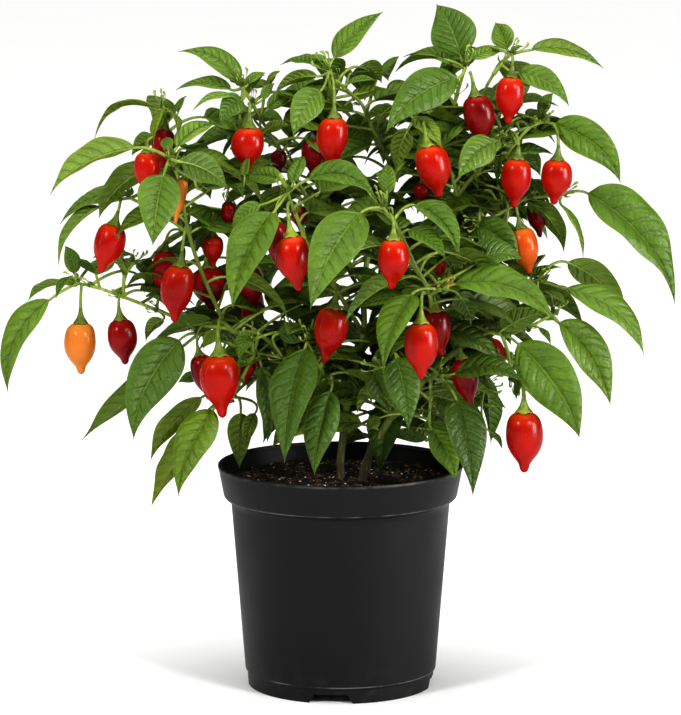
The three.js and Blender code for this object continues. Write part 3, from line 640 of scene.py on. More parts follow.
# %% Chips, fibres and pale grains
def lump(name, size, steps, rough, seed):
    """A small uneven stone or chip with few faces, size in mm along x, y and z."""
    shape = bmesh.new()
    bmesh.ops.create_icosphere(shape, subdivisions=steps, radius=1)
    for vertex in shape.verts:
        push = 1 + rough * noise.noise(vertex.co * 1.7 + Vector((seed, 0, 0)))
        vertex.co = Vector(c * s * push * MM / 2 for c, s in zip(vertex.co, size))
    return placed(name, closed_mesh(name, shape))


def fibre(name, length, thick, bend):
    """A thin bent root hair, four-sided, lengths in mm."""
    shape = bmesh.new()
    rings = []
    for t in np.linspace(-1, 1, 6):
        middle = Vector((t * length / 2, bend * (1 - t * t), 0.2 * thick * math.sin(5 * t)))
        taper = thick / 2 * (1 - 0.6 * abs(t))
        across = [(0, 1, 0), (0, 0, 1), (0, -1, 0), (0, 0, -1)]
        rings.append([shape.verts.new((middle + Vector(a) * taper) * MM) for a in across])
    bridged(shape, rings)
    shape.faces.new(list(reversed(rings[0])))
    shape.faces.new(rings[-1])
    return placed(name, closed_mesh(name, shape))


def litter_finish(name, dark, light, scale):
    material, tree, output, place = new_finish(name)
    shade = spread(tree, speckle(tree, place, scale, 2.0), 0.35, 0.65)
    fine = speckle(tree, place, 1600.0, 2.0)
    skin(tree, output, {
        "Base Color": mixed(tree, shade, dark, light), "Roughness": 0.85, "Specular IOR Level": 0.2,
        "Normal": bumped(tree, fine, 0.5, 0.0003),
    })
    return material


LITTER = [
    # name, seed shape, density, smallest, largest, seed, dark and light colours, pattern scale
    ("bark_chips", lump("chip", (5.2, 3.0, 1.8), 1, 0.9, 2.0), 9500, 0.3, 1.2, 11,
     rgb(0.005, 0.0035, 0.0022), rgb(0.15, 0.085, 0.042), 160.0),
    ("compost_crumbs", lump("crumb", (2.0, 1.8, 1.6), 1, 0.8, 5.0), 60000, 0.4, 1.5, 5,
     rgb(0.002, 0.0015, 0.001), rgb(0.08, 0.05, 0.027), 240.0),
    ("pale_grains", lump("grain", (2.6, 1.3, 1.0), 1, 0.7, 9.0), 15000, 0.35, 1.3, 23,
     rgb(0.34, 0.22, 0.13), rgb(0.95, 0.8, 0.6), 300.0),
    ("root_fibres", fibre("fibre", 11, 0.42, 1.6), 1800, 0.45, 1.25, 31,
     rgb(0.05, 0.032, 0.018), rgb(0.22, 0.15, 0.085), 120.0),
]
for name, chip, density, smallest, largest, seed, dark, light, scale in LITTER:
    bits = cooked(
        name, soil.data.copy(), litter_recipe, chip=chip, density=float(density), smallest=smallest,
        largest=largest, seed=seed, material=litter_finish(name, dark, light, scale),
    )
    bpy.data.objects.remove(chip)
    joined_in(bits, "soil")
    print(name, len(bits.data.polygons), "faces")

# %% [markdown]
# ## Where the plant's parts are
#
# The places of stems, leaves and fruits were read from a viewer's place straight in front of the pot: so
# far to the right, so far up, and how much nearer than the pot's axis. `seen` turns such a reading into a
# point. Smooth lines through readings then make the stems, and the same lines make every leaf stalk and
# fruit stalk.

# %% Helpers for places and lines
def unit(vector):
    vector = np.asarray(vector, float)
    return vector / np.linalg.norm(vector, axis=-1, keepdims=True)


def seen(reading):
    """The point in mm that is seen at (u, v), near mm closer than the plane through the pot's axis."""
    u, v, near = reading[:3]
    share = (VIEW_DISTANCE - near) / VIEW_DISTANCE
    return np.array([u * share, -near, VIEW_HEIGHT + (v - VIEW_HEIGHT) * share])


def across(direction):
    """Two directions across a line, the first one level where it can be."""
    side = np.cross(direction, UP)
    side = RIGHT if np.linalg.norm(side) < 0.05 else unit(side)
    return side, unit(np.cross(side, direction))


def smooth_line(points, count):
    """A smooth line through all the points, in count steps. More columns follow the first three."""
    points = np.asarray(points, float)
    ends = [2 * points[0] - points[1], *points, 2 * points[-1] - points[-2]]
    line = []
    for place in np.linspace(0, len(points) - 1, count + 1):
        i = min(int(place), len(points) - 2)
        a, b, c, d = ends[i:i + 4]
        gaps = [max(np.linalg.norm((q - p)[:3]) ** 0.5, 1e-4) for p, q in ((a, b), (b, c), (c, d))]
        leave = ((b - a) / gaps[0] - (c - a) / (gaps[0] + gaps[1]) + (c - b) / gaps[1]) * gaps[1]
        arrive = ((c - b) / gaps[1] - (d - b) / (gaps[1] + gaps[2]) + (d - c) / gaps[2]) * gaps[1]
        t = place - i
        square, cube = 3 * (c - b) - 2 * leave - arrive, 2 * (b - c) + leave + arrive
        line.append(b + leave * t + square * t * t + cube * t ** 3)
    return np.array(line)


def length_of(points):
    """How long the straight steps from point to point are together."""
    return np.linalg.norm(np.diff(points, axis=0), axis=1).sum()


def swollen(girth, line, joints, swell, reach):
    """A line's girth, made thicker near each joint."""
    for joint in joints:
        near = np.linalg.norm(line - joint, axis=1)
        girth = girth * (1 + swell * np.exp(-(near / reach) ** 2))
    return girth


def bow(start, bend, end, count):
    """A quadratic curve from start to end that leaves and arrives in line with bend."""
    t = np.linspace(0, 1, count + 1)[:, None]
    return (1 - t) ** 2 * start + 2 * t * (1 - t) * bend + t * t * end


# %% [markdown]
# ## Stalk recipe
#
# Stems, twigs, leaf stalks and fruit stalks are all round and follow a line, so one tree makes them. Its
# mesh holds loose edges with a girth at each point, which is a radius, and may hold leaf blades too, whose
# girth is zero. The edges become curves, a circle of that radius is swept along them, and noise makes the
# skin a little uneven.

# %% Stalk recipe
stalk_recipe, given, output = new_recipe(
    "stalks", sides=("Int", 8), knobbly=("Float", 0.0), grain=("Float", 300.0), material=("Material", None),
)
tree = stalk_recipe
girth = stored(tree, "girth")
thick = wire(tree, "FunctionNodeCompare", {0: girth, 1: 0.0}, operation="GREATER_THAN").outputs[0]
parts = wire(tree, "GeometryNodeSeparateGeometry", {0: given["Geometry"], 1: thick}, domain="POINT").outputs
lines = wire(tree, "GeometryNodeMeshToCurve", {"Mesh": parts["Selection"]}).outputs[0]
circle = {"Resolution": given["sides"], "Radius": 1.0}
ring = wire(tree, "GeometryNodeCurvePrimitiveCircle", circle).outputs[0]
tube = wire(tree, "GeometryNodeCurveToMesh", {
    "Curve": lines, "Profile Curve": ring, "Scale": girth, "Fill Caps": True,
}).outputs[0]
position = wire(tree, "GeometryNodeInputPosition").outputs[0]
normal = wire(tree, "GeometryNodeInputNormal").outputs[0]
uneven = speckle(tree, position, given["grain"], 2.0, 0.5)
swell = sums(tree, "MULTIPLY", sums(tree, "SUBTRACT", uneven, 0.5), given["knobbly"])
offset = wire(tree, "ShaderNodeVectorMath", {0: normal, "Scale": swell}, operation="SCALE").outputs[0]
tube = wire(tree, "GeometryNodeSetPosition", {"Geometry": tube, "Offset": offset}).outputs[0]
tube = wire(tree, "GeometryNodeSetShadeSmooth", {0: tube}).outputs[0]
tube = wire(tree, "GeometryNodeSetMaterial", {"Geometry": tube, "Material": given["material"]}).outputs[0]
both = wire(tree, "GeometryNodeJoinGeometry")
for geometry in (tube, parts["Inverted"]):
    tree.links.new(geometry, both.inputs[0])
real = wire(tree, "GeometryNodeRealizeInstances", {0: both.outputs[0]}).outputs[0]
tree.links.new(real, output.inputs[0])
print("stalk recipe:", len(tree.nodes), "nodes")


# %% A bag that gathers blades and lines for one mesh
class Bag:
    """Points, faces and lines of one piece in mm, with what the finishes read at each point."""

    def __init__(self):
        self.points, self.faces, self.slots, self.edges = [], [], [], []
        self.uv, self.look, self.shift, self.girth = [], [], [], []
        self.count = 0

    def add(self, points, uv, look, shift, girth):
        first = self.count
        count = len(points)
        self.points.append(points)
        self.uv.append(np.broadcast_to(uv, (count, 2)))
        self.look.append(np.broadcast_to(look, (count, 3)))
        self.shift.append(np.broadcast_to(shift, count))
        self.girth.append(np.broadcast_to(girth, count))
        self.count += count
        return first

    def line(self, points, girth, look=(0.5, 0.0, 0.5)):
        first = self.add(points, (0, 0), look, 0.0, girth)
        self.edges += [(first + i, first + i + 1) for i in range(len(points) - 1)]

    def mesh(self, name):
        mesh = bpy.data.meshes.new(name)
        mesh.from_pydata((np.concatenate(self.points) * MM).tolist(), self.edges, self.faces)
        uv = np.concatenate(self.uv).astype(np.float32)
        corners = np.empty(len(mesh.loops), np.int32)
        mesh.loops.foreach_get("vertex_index", corners)
        mesh.uv_layers.new(name="UVMap").data.foreach_set("uv", uv[corners].ravel())
        for label, kind, values, field in (
            ("leaf_look", "FLOAT_VECTOR", np.concatenate(self.look), "vector"),
            ("vein_shift", "FLOAT", np.concatenate(self.shift), "value"),
            ("girth", "FLOAT", np.concatenate(self.girth) * MM, "value"),
        ):
            values = values.astype(np.float32).ravel()
            mesh.attributes.new(label, kind, "POINT").data.foreach_set(field, values)
        mesh.polygons.foreach_set("use_smooth", [True] * len(self.faces))
        mesh.polygons.foreach_set("material_index", self.slots)
        return mesh


# %% [markdown]
# ## Bark
#
# The stems are woody and brown where they leave the compost and turn olive green higher up, with fine lines
# along them. Young twigs and leaf stalks are a paler yellow-green. Height on the object drives the browning.

# %% Bark finishes
def bark_finish(name, old, young, pale, low, high):
    """Bark that goes from old to young between two heights in metres, with pale streaks."""
    material, tree, output, place = new_finish(name)
    height = split(tree, place)["Z"]
    stretched = wire(tree, "ShaderNodeMapping", {"Vector": place, "Scale": (1.0, 1.0, 0.16)}).outputs[0]
    streaks = speckle(tree, stretched, 520.0, 3.0, 0.6)
    blotches = speckle(tree, place, 95.0, 3.0)
    uneven = sums(tree, "ADD", height, sums(tree, "MULTIPLY", sums(tree, "SUBTRACT", blotches, 0.5), 0.05))
    colour = mixed(tree, spread(tree, uneven, low, high), old, young)
    colour = mixed(tree, spread(tree, streaks, 0.5, 0.75), colour, pale)
    colour = mixed(tree, spread(tree, blotches, 0.6, 0.3, 0.0, 0.35), colour, rgb(0.03, 0.04, 0.008))
    skin(tree, output, {
        "Base Color": colour, "Roughness": spread(tree, streaks, 0.3, 0.7, 0.45, 0.62),
        "Specular IOR Level": 0.35, "Normal": bumped(tree, streaks, 0.35, 0.0003),
    })
    return material


woody_bark = bark_finish(
    "woody_bark", rgb(0.06, 0.042, 0.016), rgb(0.16, 0.22, 0.024), rgb(0.28, 0.32, 0.07), 0.125, 0.2
)
green_bark = bark_finish(
    "green_bark", rgb(0.13, 0.19, 0.025), rgb(0.23, 0.32, 0.04), rgb(0.4, 0.48, 0.1), 0.1, 0.3
)
print("bark finishes:", woody_bark.name, green_bark.name)

# %% [markdown]
# ## Stems
#
# Three stems leave the compost and fork. Each fork is a row of readings with its radius. The joints swell a
# little, as they do on a pepper plant wherever a branch or a leaf leaves.

# %% Stem rows
STEMS = [
    ("main_stem", [
        [[2, 116, 0, 3.3], [0, 133, 0, 3.2], [2, 158, 0, 3], [5, 180, 2, 2.9], [14, 215, 0, 2.6],
         [14, 245, -8, 2.3], [18, 270, -12, 2.1], [28, 295, -14, 1.9], [32, 312, -10, 1.7],
         [28, 325, -6, 1.6], [18, 345, 0, 1.4], [12, 358, 5, 1.3], [3, 366, 8, 1.2]],
        [[5, 183, 2, 2.3], [-12, 192, 6, 2.2], [-30, 200, 10, 2.1], [-50, 217, 14, 2], [-66, 219, 18, 1.9],
         [-78, 240, 18, 1.7], [-91, 275, 20, 1.5], [-97, 308, 24, 1.3], [-100, 322, 26, 1.2],
         [-104, 340, 22, 1.1]],
        [[14, 217, 0, 1.9], [0, 240, 24, 1.7], [-10, 258, 37, 1.6], [-22, 276, 49, 1.3]],
        [[14, 247, -8, 1.8], [-4, 275, -16, 1.6], [-20, 300, -16, 1.5], [-36, 328, -10, 1.4],
         [-48, 348, -2, 1.2]],
    ]),
    ("right_stem", [
        [[13, 116, 10, 3.6], [15, 135, 10, 3.5], [22, 150, 10, 3.3], [33, 168, 10, 3], [41, 172, 12, 2.9],
         [50, 188, 16, 2.7], [70, 206, 26, 2.2], [90, 218, 37, 1.8]],
        [[50, 188, 16, 2], [54, 212, 34, 1.8], [54, 242, 62, 1.6], [45, 260, 67, 1.4], [37, 278, 69, 1.3]],
    ]),
    ("back_stem", [
        [[14, 116, -18, 3], [16, 133, -18, 2.9], [20, 152, -20, 2.8], [31, 171, -22, 2.6], [44, 200, -24, 2.4],
         [58, 235, -24, 2.2], [67, 268, -20, 2], [71, 300, -12, 1.8], [88, 322, 0, 1.5], [98, 336, 6, 1.4],
         [93, 350, 6, 1.3], [87, 364, 6, 1.2], [92, 375, 5, 1.1]],
        [[71, 300, -12, 1.6], [66, 320, -10, 1.4], [66, 345, -6, 1.3]],
        [[67, 268, -20, 1.6], [75, 286, -14, 1.4], [90, 295, -8, 1.3], [106, 299, -2, 1.2]],
        [[58, 235, -24, 1.6], [85, 240, -6, 1.3], [105, 244, 8, 1.2]],
        [[98, 336, 6, 1.3], [108, 341, 9, 1.1]],
    ]),
]
STEM_STEP = 2.2
JOINT_SWELL = 0.14
JOINT_REACH = 3.6
FLARE = 0.25
FLARE_TOP = 12
FLARE_HEIGHT = 16
STEM_SHARE = 0.76


def stem_line(readings, joints):
    """A fork's line and its girth at each point, thicker at the joints and where it meets the compost."""
    rows = np.array([[*seen(row), row[3]] for row in readings])
    line = smooth_line(rows, int(length_of(rows[:, :3]) / STEM_STEP))
    girth = swollen(STEM_SHARE * line[:, 3], line[:, :3], joints, JOINT_SWELL, JOINT_REACH)
    girth *= 1 + FLARE * np.clip((SOIL_TOP + FLARE_TOP - line[:, 2]) / FLARE_HEIGHT, 0, 1) ** 2
    return line[:, :3], girth


# %% Stems
for name, forks in STEMS:
    joints = [seen(fork[0]) for fork in forks[1:]] + [seen(row) for fork in forks for row in fork[2::2]]
    bag = Bag()
    for fork in forks:
        bag.line(*stem_line(fork, joints))
    stem = cooked(name + "_bark", bag.mesh(name), stalk_recipe, sides=14, knobbly=0.0006, material=woody_bark)
    joined_in(stem, "stem", name)
    print(stem.name, len(stem.data.polygons), "faces")

# %% [markdown]
# ## Leaves
#
# A pepper leaf is egg-shaped with a long drawn-out tip. Its two halves rise from the midrib and then bow
# down to the edge, and the blade puffs up between its side veins. One blade is worked out as a closed thin
# skin of points along and across, so each of the several hundred leaves has its own size, arch, twist,
# ripple and tone. The stalk runs on beneath the blade as its midrib.

# %% One blade
STATIONS, LANES = 40, 15
SMALL_STATIONS, SMALL_LANES = 20, 9
SMALL_LEAF = 26
VEINS = 8
VEIN_SLANT = 0.85
BLADE_THICKNESS = 0.3
PETIOLE_GIRTH = 0.88


def blade_turn(side, over, sight, chord, share):
    """The turn about its chord that shows a blade this wide to the viewer, nearest to lying level."""
    picture = unit(np.cross(sight, chord))
    facing = math.atan2(over @ picture, side @ picture)
    opened = math.acos(min(1.0, share))
    turns = [t - math.pi * math.floor(t / math.pi + 0.5) for t in (facing + opened, facing - opened)]
    return min(turns, key=abs)


def blade_places(leaf, s, chance):
    """A blade's middle line and its three directions at each station s."""
    chord = leaf["tip"] - leaf["base"]
    length = np.linalg.norm(chord)
    chord = chord / length
    side, over = across(chord)
    s = s[:, None]
    curl = chance.uniform(0.0, 0.06) * length * np.clip((s - 0.62) / 0.38, 0, 1) ** 2
    sway = chance.uniform(-0.02, 0.02) * length * np.sin(math.pi * s)
    middle = leaf["base"] + chord * s * length + over * (4 * leaf["arch"] * s * (1 - s) - curl)
    along = unit(np.gradient(middle, axis=0))
    turn = leaf["turn"] + chance.uniform(-0.35, 0.35) * (s - 0.35)
    level = unit(np.cross(side, along))
    reach = np.cos(turn) * side + np.sin(turn) * level
    reach = unit(reach - along * np.sum(reach * along, axis=1, keepdims=True))
    return middle + reach * sway, along, reach, np.cross(reach, along), length


def add_leaf(bag, leaf, chance):
    """Adds a blade with its stalk and midrib to a bag."""
    small = leaf.get("coarse") or np.linalg.norm(leaf["tip"] - leaf["base"]) < SMALL_LEAF
    stations, lanes = (SMALL_STATIONS, SMALL_LANES) if small else (STATIONS, LANES)
    s = np.linspace(0, 1, stations) ** 0.92
    t = np.linspace(-1, 1, lanes)
    middle, along, reach, face, length = blade_places(leaf, s, chance)
    rise, fall = chance.uniform(0.6, 0.76), chance.uniform(1.15, 1.4)
    peak = rise / (rise + fall)
    inner = np.clip(s, 1e-3, 1 - 1e-3)
    half = leaf["width"] / 2 * (inner / peak) ** rise * ((1 - inner) / (1 - peak)) ** fall
    half = np.maximum(half, 0.12)[:, None]
    fold = chance.uniform(0.4, 0.95)
    crown = fold * chance.uniform(0.5, 0.85)
    v = np.abs(t)[None, :]
    lift = half * (fold * v - crown * v * v)
    ripple = chance.uniform(0.012, 0.04) * leaf["width"]
    turns = chance.uniform(1.4, 2.6) * s[:, None] + chance.uniform(0, 1)
    waves = np.sin(2 * math.pi * turns + 1.3 * np.sign(t))
    lift = lift + ripple * waves * v ** 2.5 * np.sin(math.pi * inner[:, None])
    shift = VEINS * VEIN_SLANT * half * v / length
    beat = np.abs(np.sin(math.pi * (VEINS * s[:, None] - shift + 0.5 * (t > 0))))
    puff = chance.uniform(0.04, 0.1) * half * np.sqrt(beat) * np.clip(v / 0.2, 0, 1) * (1 - v ** 3)
    lift = lift + puff
    thick = BLADE_THICKNESS * (1 - v ** 4)
    side_step = reach[:, None, :] * (half * t)[:, :, None]
    top = middle[:, None, :] + side_step + face[:, None, :] * lift[:, :, None]
    under = top - face[:, None, :] * np.broadcast_to(thick, lift.shape)[:, :, None]
    rings = np.concatenate([top, under[:, -2:0:-1]], axis=1)
    order = np.concatenate([np.arange(lanes), np.arange(lanes - 2, 0, -1)])
    around = rings.shape[1]
    uv = np.stack(np.broadcast_arrays(s[:, None], 0.5 + 0.5 * t[order][None, :]), axis=2)
    ends = np.array([middle[0] - along[0] * 0.1, middle[-1] + along[-1] * 0.4])
    points = np.concatenate([rings.reshape(-1, 3), ends])
    uv = np.concatenate([uv.reshape(-1, 2), [[0, 0.5], [1, 0.5]]])
    shift = np.concatenate([shift[:, order].ravel(), [0, 0]])
    first = bag.add(points, uv, leaf["look"], shift, 0.0)
    finishes = [0 if k < lanes - 1 else 1 for k in range(around)]
    for i in range(stations - 1):
        for k in range(around):
            a, b = first + i * around + k, first + i * around + (k + 1) % around
            bag.faces.append((a, b, b + around, a + around))
        bag.slots += finishes
    last = first + (stations - 1) * around
    foot, point = first + len(points) - 2, first + len(points) - 1
    for k in range(around):
        after = (k + 1) % around
        bag.faces += [(first + after, first + k, foot), (last + k, last + after, point)]
        bag.slots += [finishes[k]] * 2
    centre = lanes // 2
    rib_girth = np.interp(s, [0, 0.3, 0.92, 1], [0.55, 0.36, 0.12, 0.1]) * min(1.0, leaf["width"] / 18 + 0.3)
    rib = middle + face * (lift[:, centre:centre + 1] - 0.75 * rib_girth[:, None] - 0.05)
    start = leaf["start"]
    reach_back = np.linalg.norm(start - leaf["base"])
    stalk = bow(start, rib[0] - along[0] * 0.45 * reach_back, rib[0], max(3, int(reach_back / 2)))
    girth = PETIOLE_GIRTH * np.linspace(1.15, 0.85, len(stalk)) * min(1.0, leaf["width"] / 16 + 0.35)
    path = np.concatenate([stalk, rib[1::2]])
    bag.line(path, np.concatenate([girth, rib_girth[1::2]]), leaf["look"])


# %% [markdown]
# ### Leaf finish
#
# The upper side is satin mid green, the underside paler and duller. The midrib and side veins are pale
# lines, which read the blade's own map: how far along, how far across. The furrows beside the side veins
# are painted darker, which is painted shade. A little of the light that falls on the far side comes through,
# so a share of a Translucent shader is mixed in. Each leaf's tone comes from its own attribute.

# %% Leaf finish
def leaf_finish(name, dark, mid, bright, yellow, vein, through, share, rough):
    """A leaf's side: three greens by its tone, a yellowing, its veins, and the light that comes through."""
    material, tree, output, place = new_finish(name)
    look, blade = own_look(tree), own_map(tree)
    slip = wire(tree, "ShaderNodeAttribute", attribute_name="vein_shift").outputs["Fac"]
    out = sums(tree, "ABSOLUTE", sums(tree, "MULTIPLY_ADD", blade["Y"], 2.0, -1.0))
    half = sums(tree, "MULTIPLY", sums(tree, "GREATER_THAN", blade["Y"], 0.5), 0.5)
    beat = sums(tree, "SUBTRACT", sums(tree, "MULTIPLY", blade["X"], float(VEINS)), slip)
    beat = sums(tree, "ADD", beat, half)
    beat = sums(tree, "ADD", beat, sums(tree, "MULTIPLY", speckle(tree, place, 120.0, 2.0), 0.55))
    gap = sums(tree, "PINGPONG", beat, 0.5)
    side_vein = sums(tree, "MULTIPLY", spread(tree, gap, 0.1, 0.01), spread(tree, out, 1.0, 0.35))
    rib_width = spread(tree, blade["X"], 1.0, 0.0, 0.12, 0.055)
    midrib = spread(tree, sums(tree, "DIVIDE", out, rib_width), 1.0, 0.35)
    cloud = speckle(tree, place, 55.0, 3.0)
    fleck = speckle(tree, place, 520.0, 3.0, 0.6)
    colour = mixed(tree, spread(tree, look["X"], 0.0, 0.5), dark, mid)
    colour = mixed(tree, spread(tree, look["X"], 0.5, 1.0), colour, bright)
    colour = mixed(tree, look["Y"], colour, yellow)
    colour = mixed(tree, spread(tree, cloud, 0.35, 0.7, 0.0, 0.35), colour, dark)
    colour = mixed(tree, spread(tree, fleck, 0.3, 0.75, 0.0, 0.16), colour, bright)
    # Painted shade: the blade is drawn darker in the furrows beside the side veins.
    furrow_shade = sums(tree, "MULTIPLY", spread(tree, gap, 0.24, 0.05), spread(tree, out, 1.0, 0.35))
    colour = mixed(tree, sums(tree, "MULTIPLY", furrow_shade, 0.26), colour, dark)
    colour = mixed(tree, sums(tree, "MULTIPLY", side_vein, 0.16), colour, vein)
    colour = mixed(tree, spread(tree, out, 0.94, 1.0, 0.0, 0.2), colour, yellow)
    shown = sums(tree, "MULTIPLY", midrib, spread(tree, look["X"], 0.0, 0.6, 0.25, 0.6))
    colour = mixed(tree, shown, colour, vein)
    pillow = sums(tree, "MULTIPLY", spread(tree, gap, 0.0, 0.3), spread(tree, out, 1.0, 0.6))
    relief = sums(tree, "ADD", sums(tree, "MULTIPLY", fleck, 0.35), sums(tree, "MULTIPLY", pillow, 0.8))
    relief = sums(tree, "ADD", relief, sums(tree, "MULTIPLY", speckle(tree, place, 260.0, 2.0), 0.9))
    relief = sums(tree, "SUBTRACT", relief, sums(tree, "MULTIPLY", midrib, 0.5))
    normal = bumped(tree, relief, 0.85, 0.0011)
    surface = wire(tree, "ShaderNodeBsdfPrincipled", {
        "Base Color": colour, "Roughness": spread(tree, fleck, 0.2, 0.8, rough - 0.06, rough + 0.08),
        "Specular IOR Level": 0.5, "Normal": normal,
    }).outputs[0]
    glow = mixed(tree, shown, mixed(tree, 0.55, colour, through), vein)
    light = wire(tree, "ShaderNodeBsdfTranslucent", {"Color": glow, "Normal": normal}).outputs[0]
    blend = wire(tree, "ShaderNodeMixShader", {0: share, 1: surface, 2: light}).outputs[0]
    tree.links.new(blend, output.inputs["Surface"])
    return material


leaf_top = leaf_finish(
    "leaf_upper_side", rgb(0.038, 0.092, 0.003), rgb(0.125, 0.25, 0.009), rgb(0.28, 0.45, 0.06),
    rgb(0.36, 0.42, 0.01), rgb(0.33, 0.46, 0.1), rgb(0.42, 0.52, 0.012), 0.4, 0.47,
)
leaf_under = leaf_finish(
    "leaf_underside", rgb(0.08, 0.15, 0.012), rgb(0.2, 0.33, 0.032), rgb(0.34, 0.49, 0.085),
    rgb(0.36, 0.42, 0.03), rgb(0.38, 0.5, 0.14), rgb(0.42, 0.52, 0.012), 0.4, 0.55,
)
print("leaf finishes:", leaf_top.name, leaf_under.name)
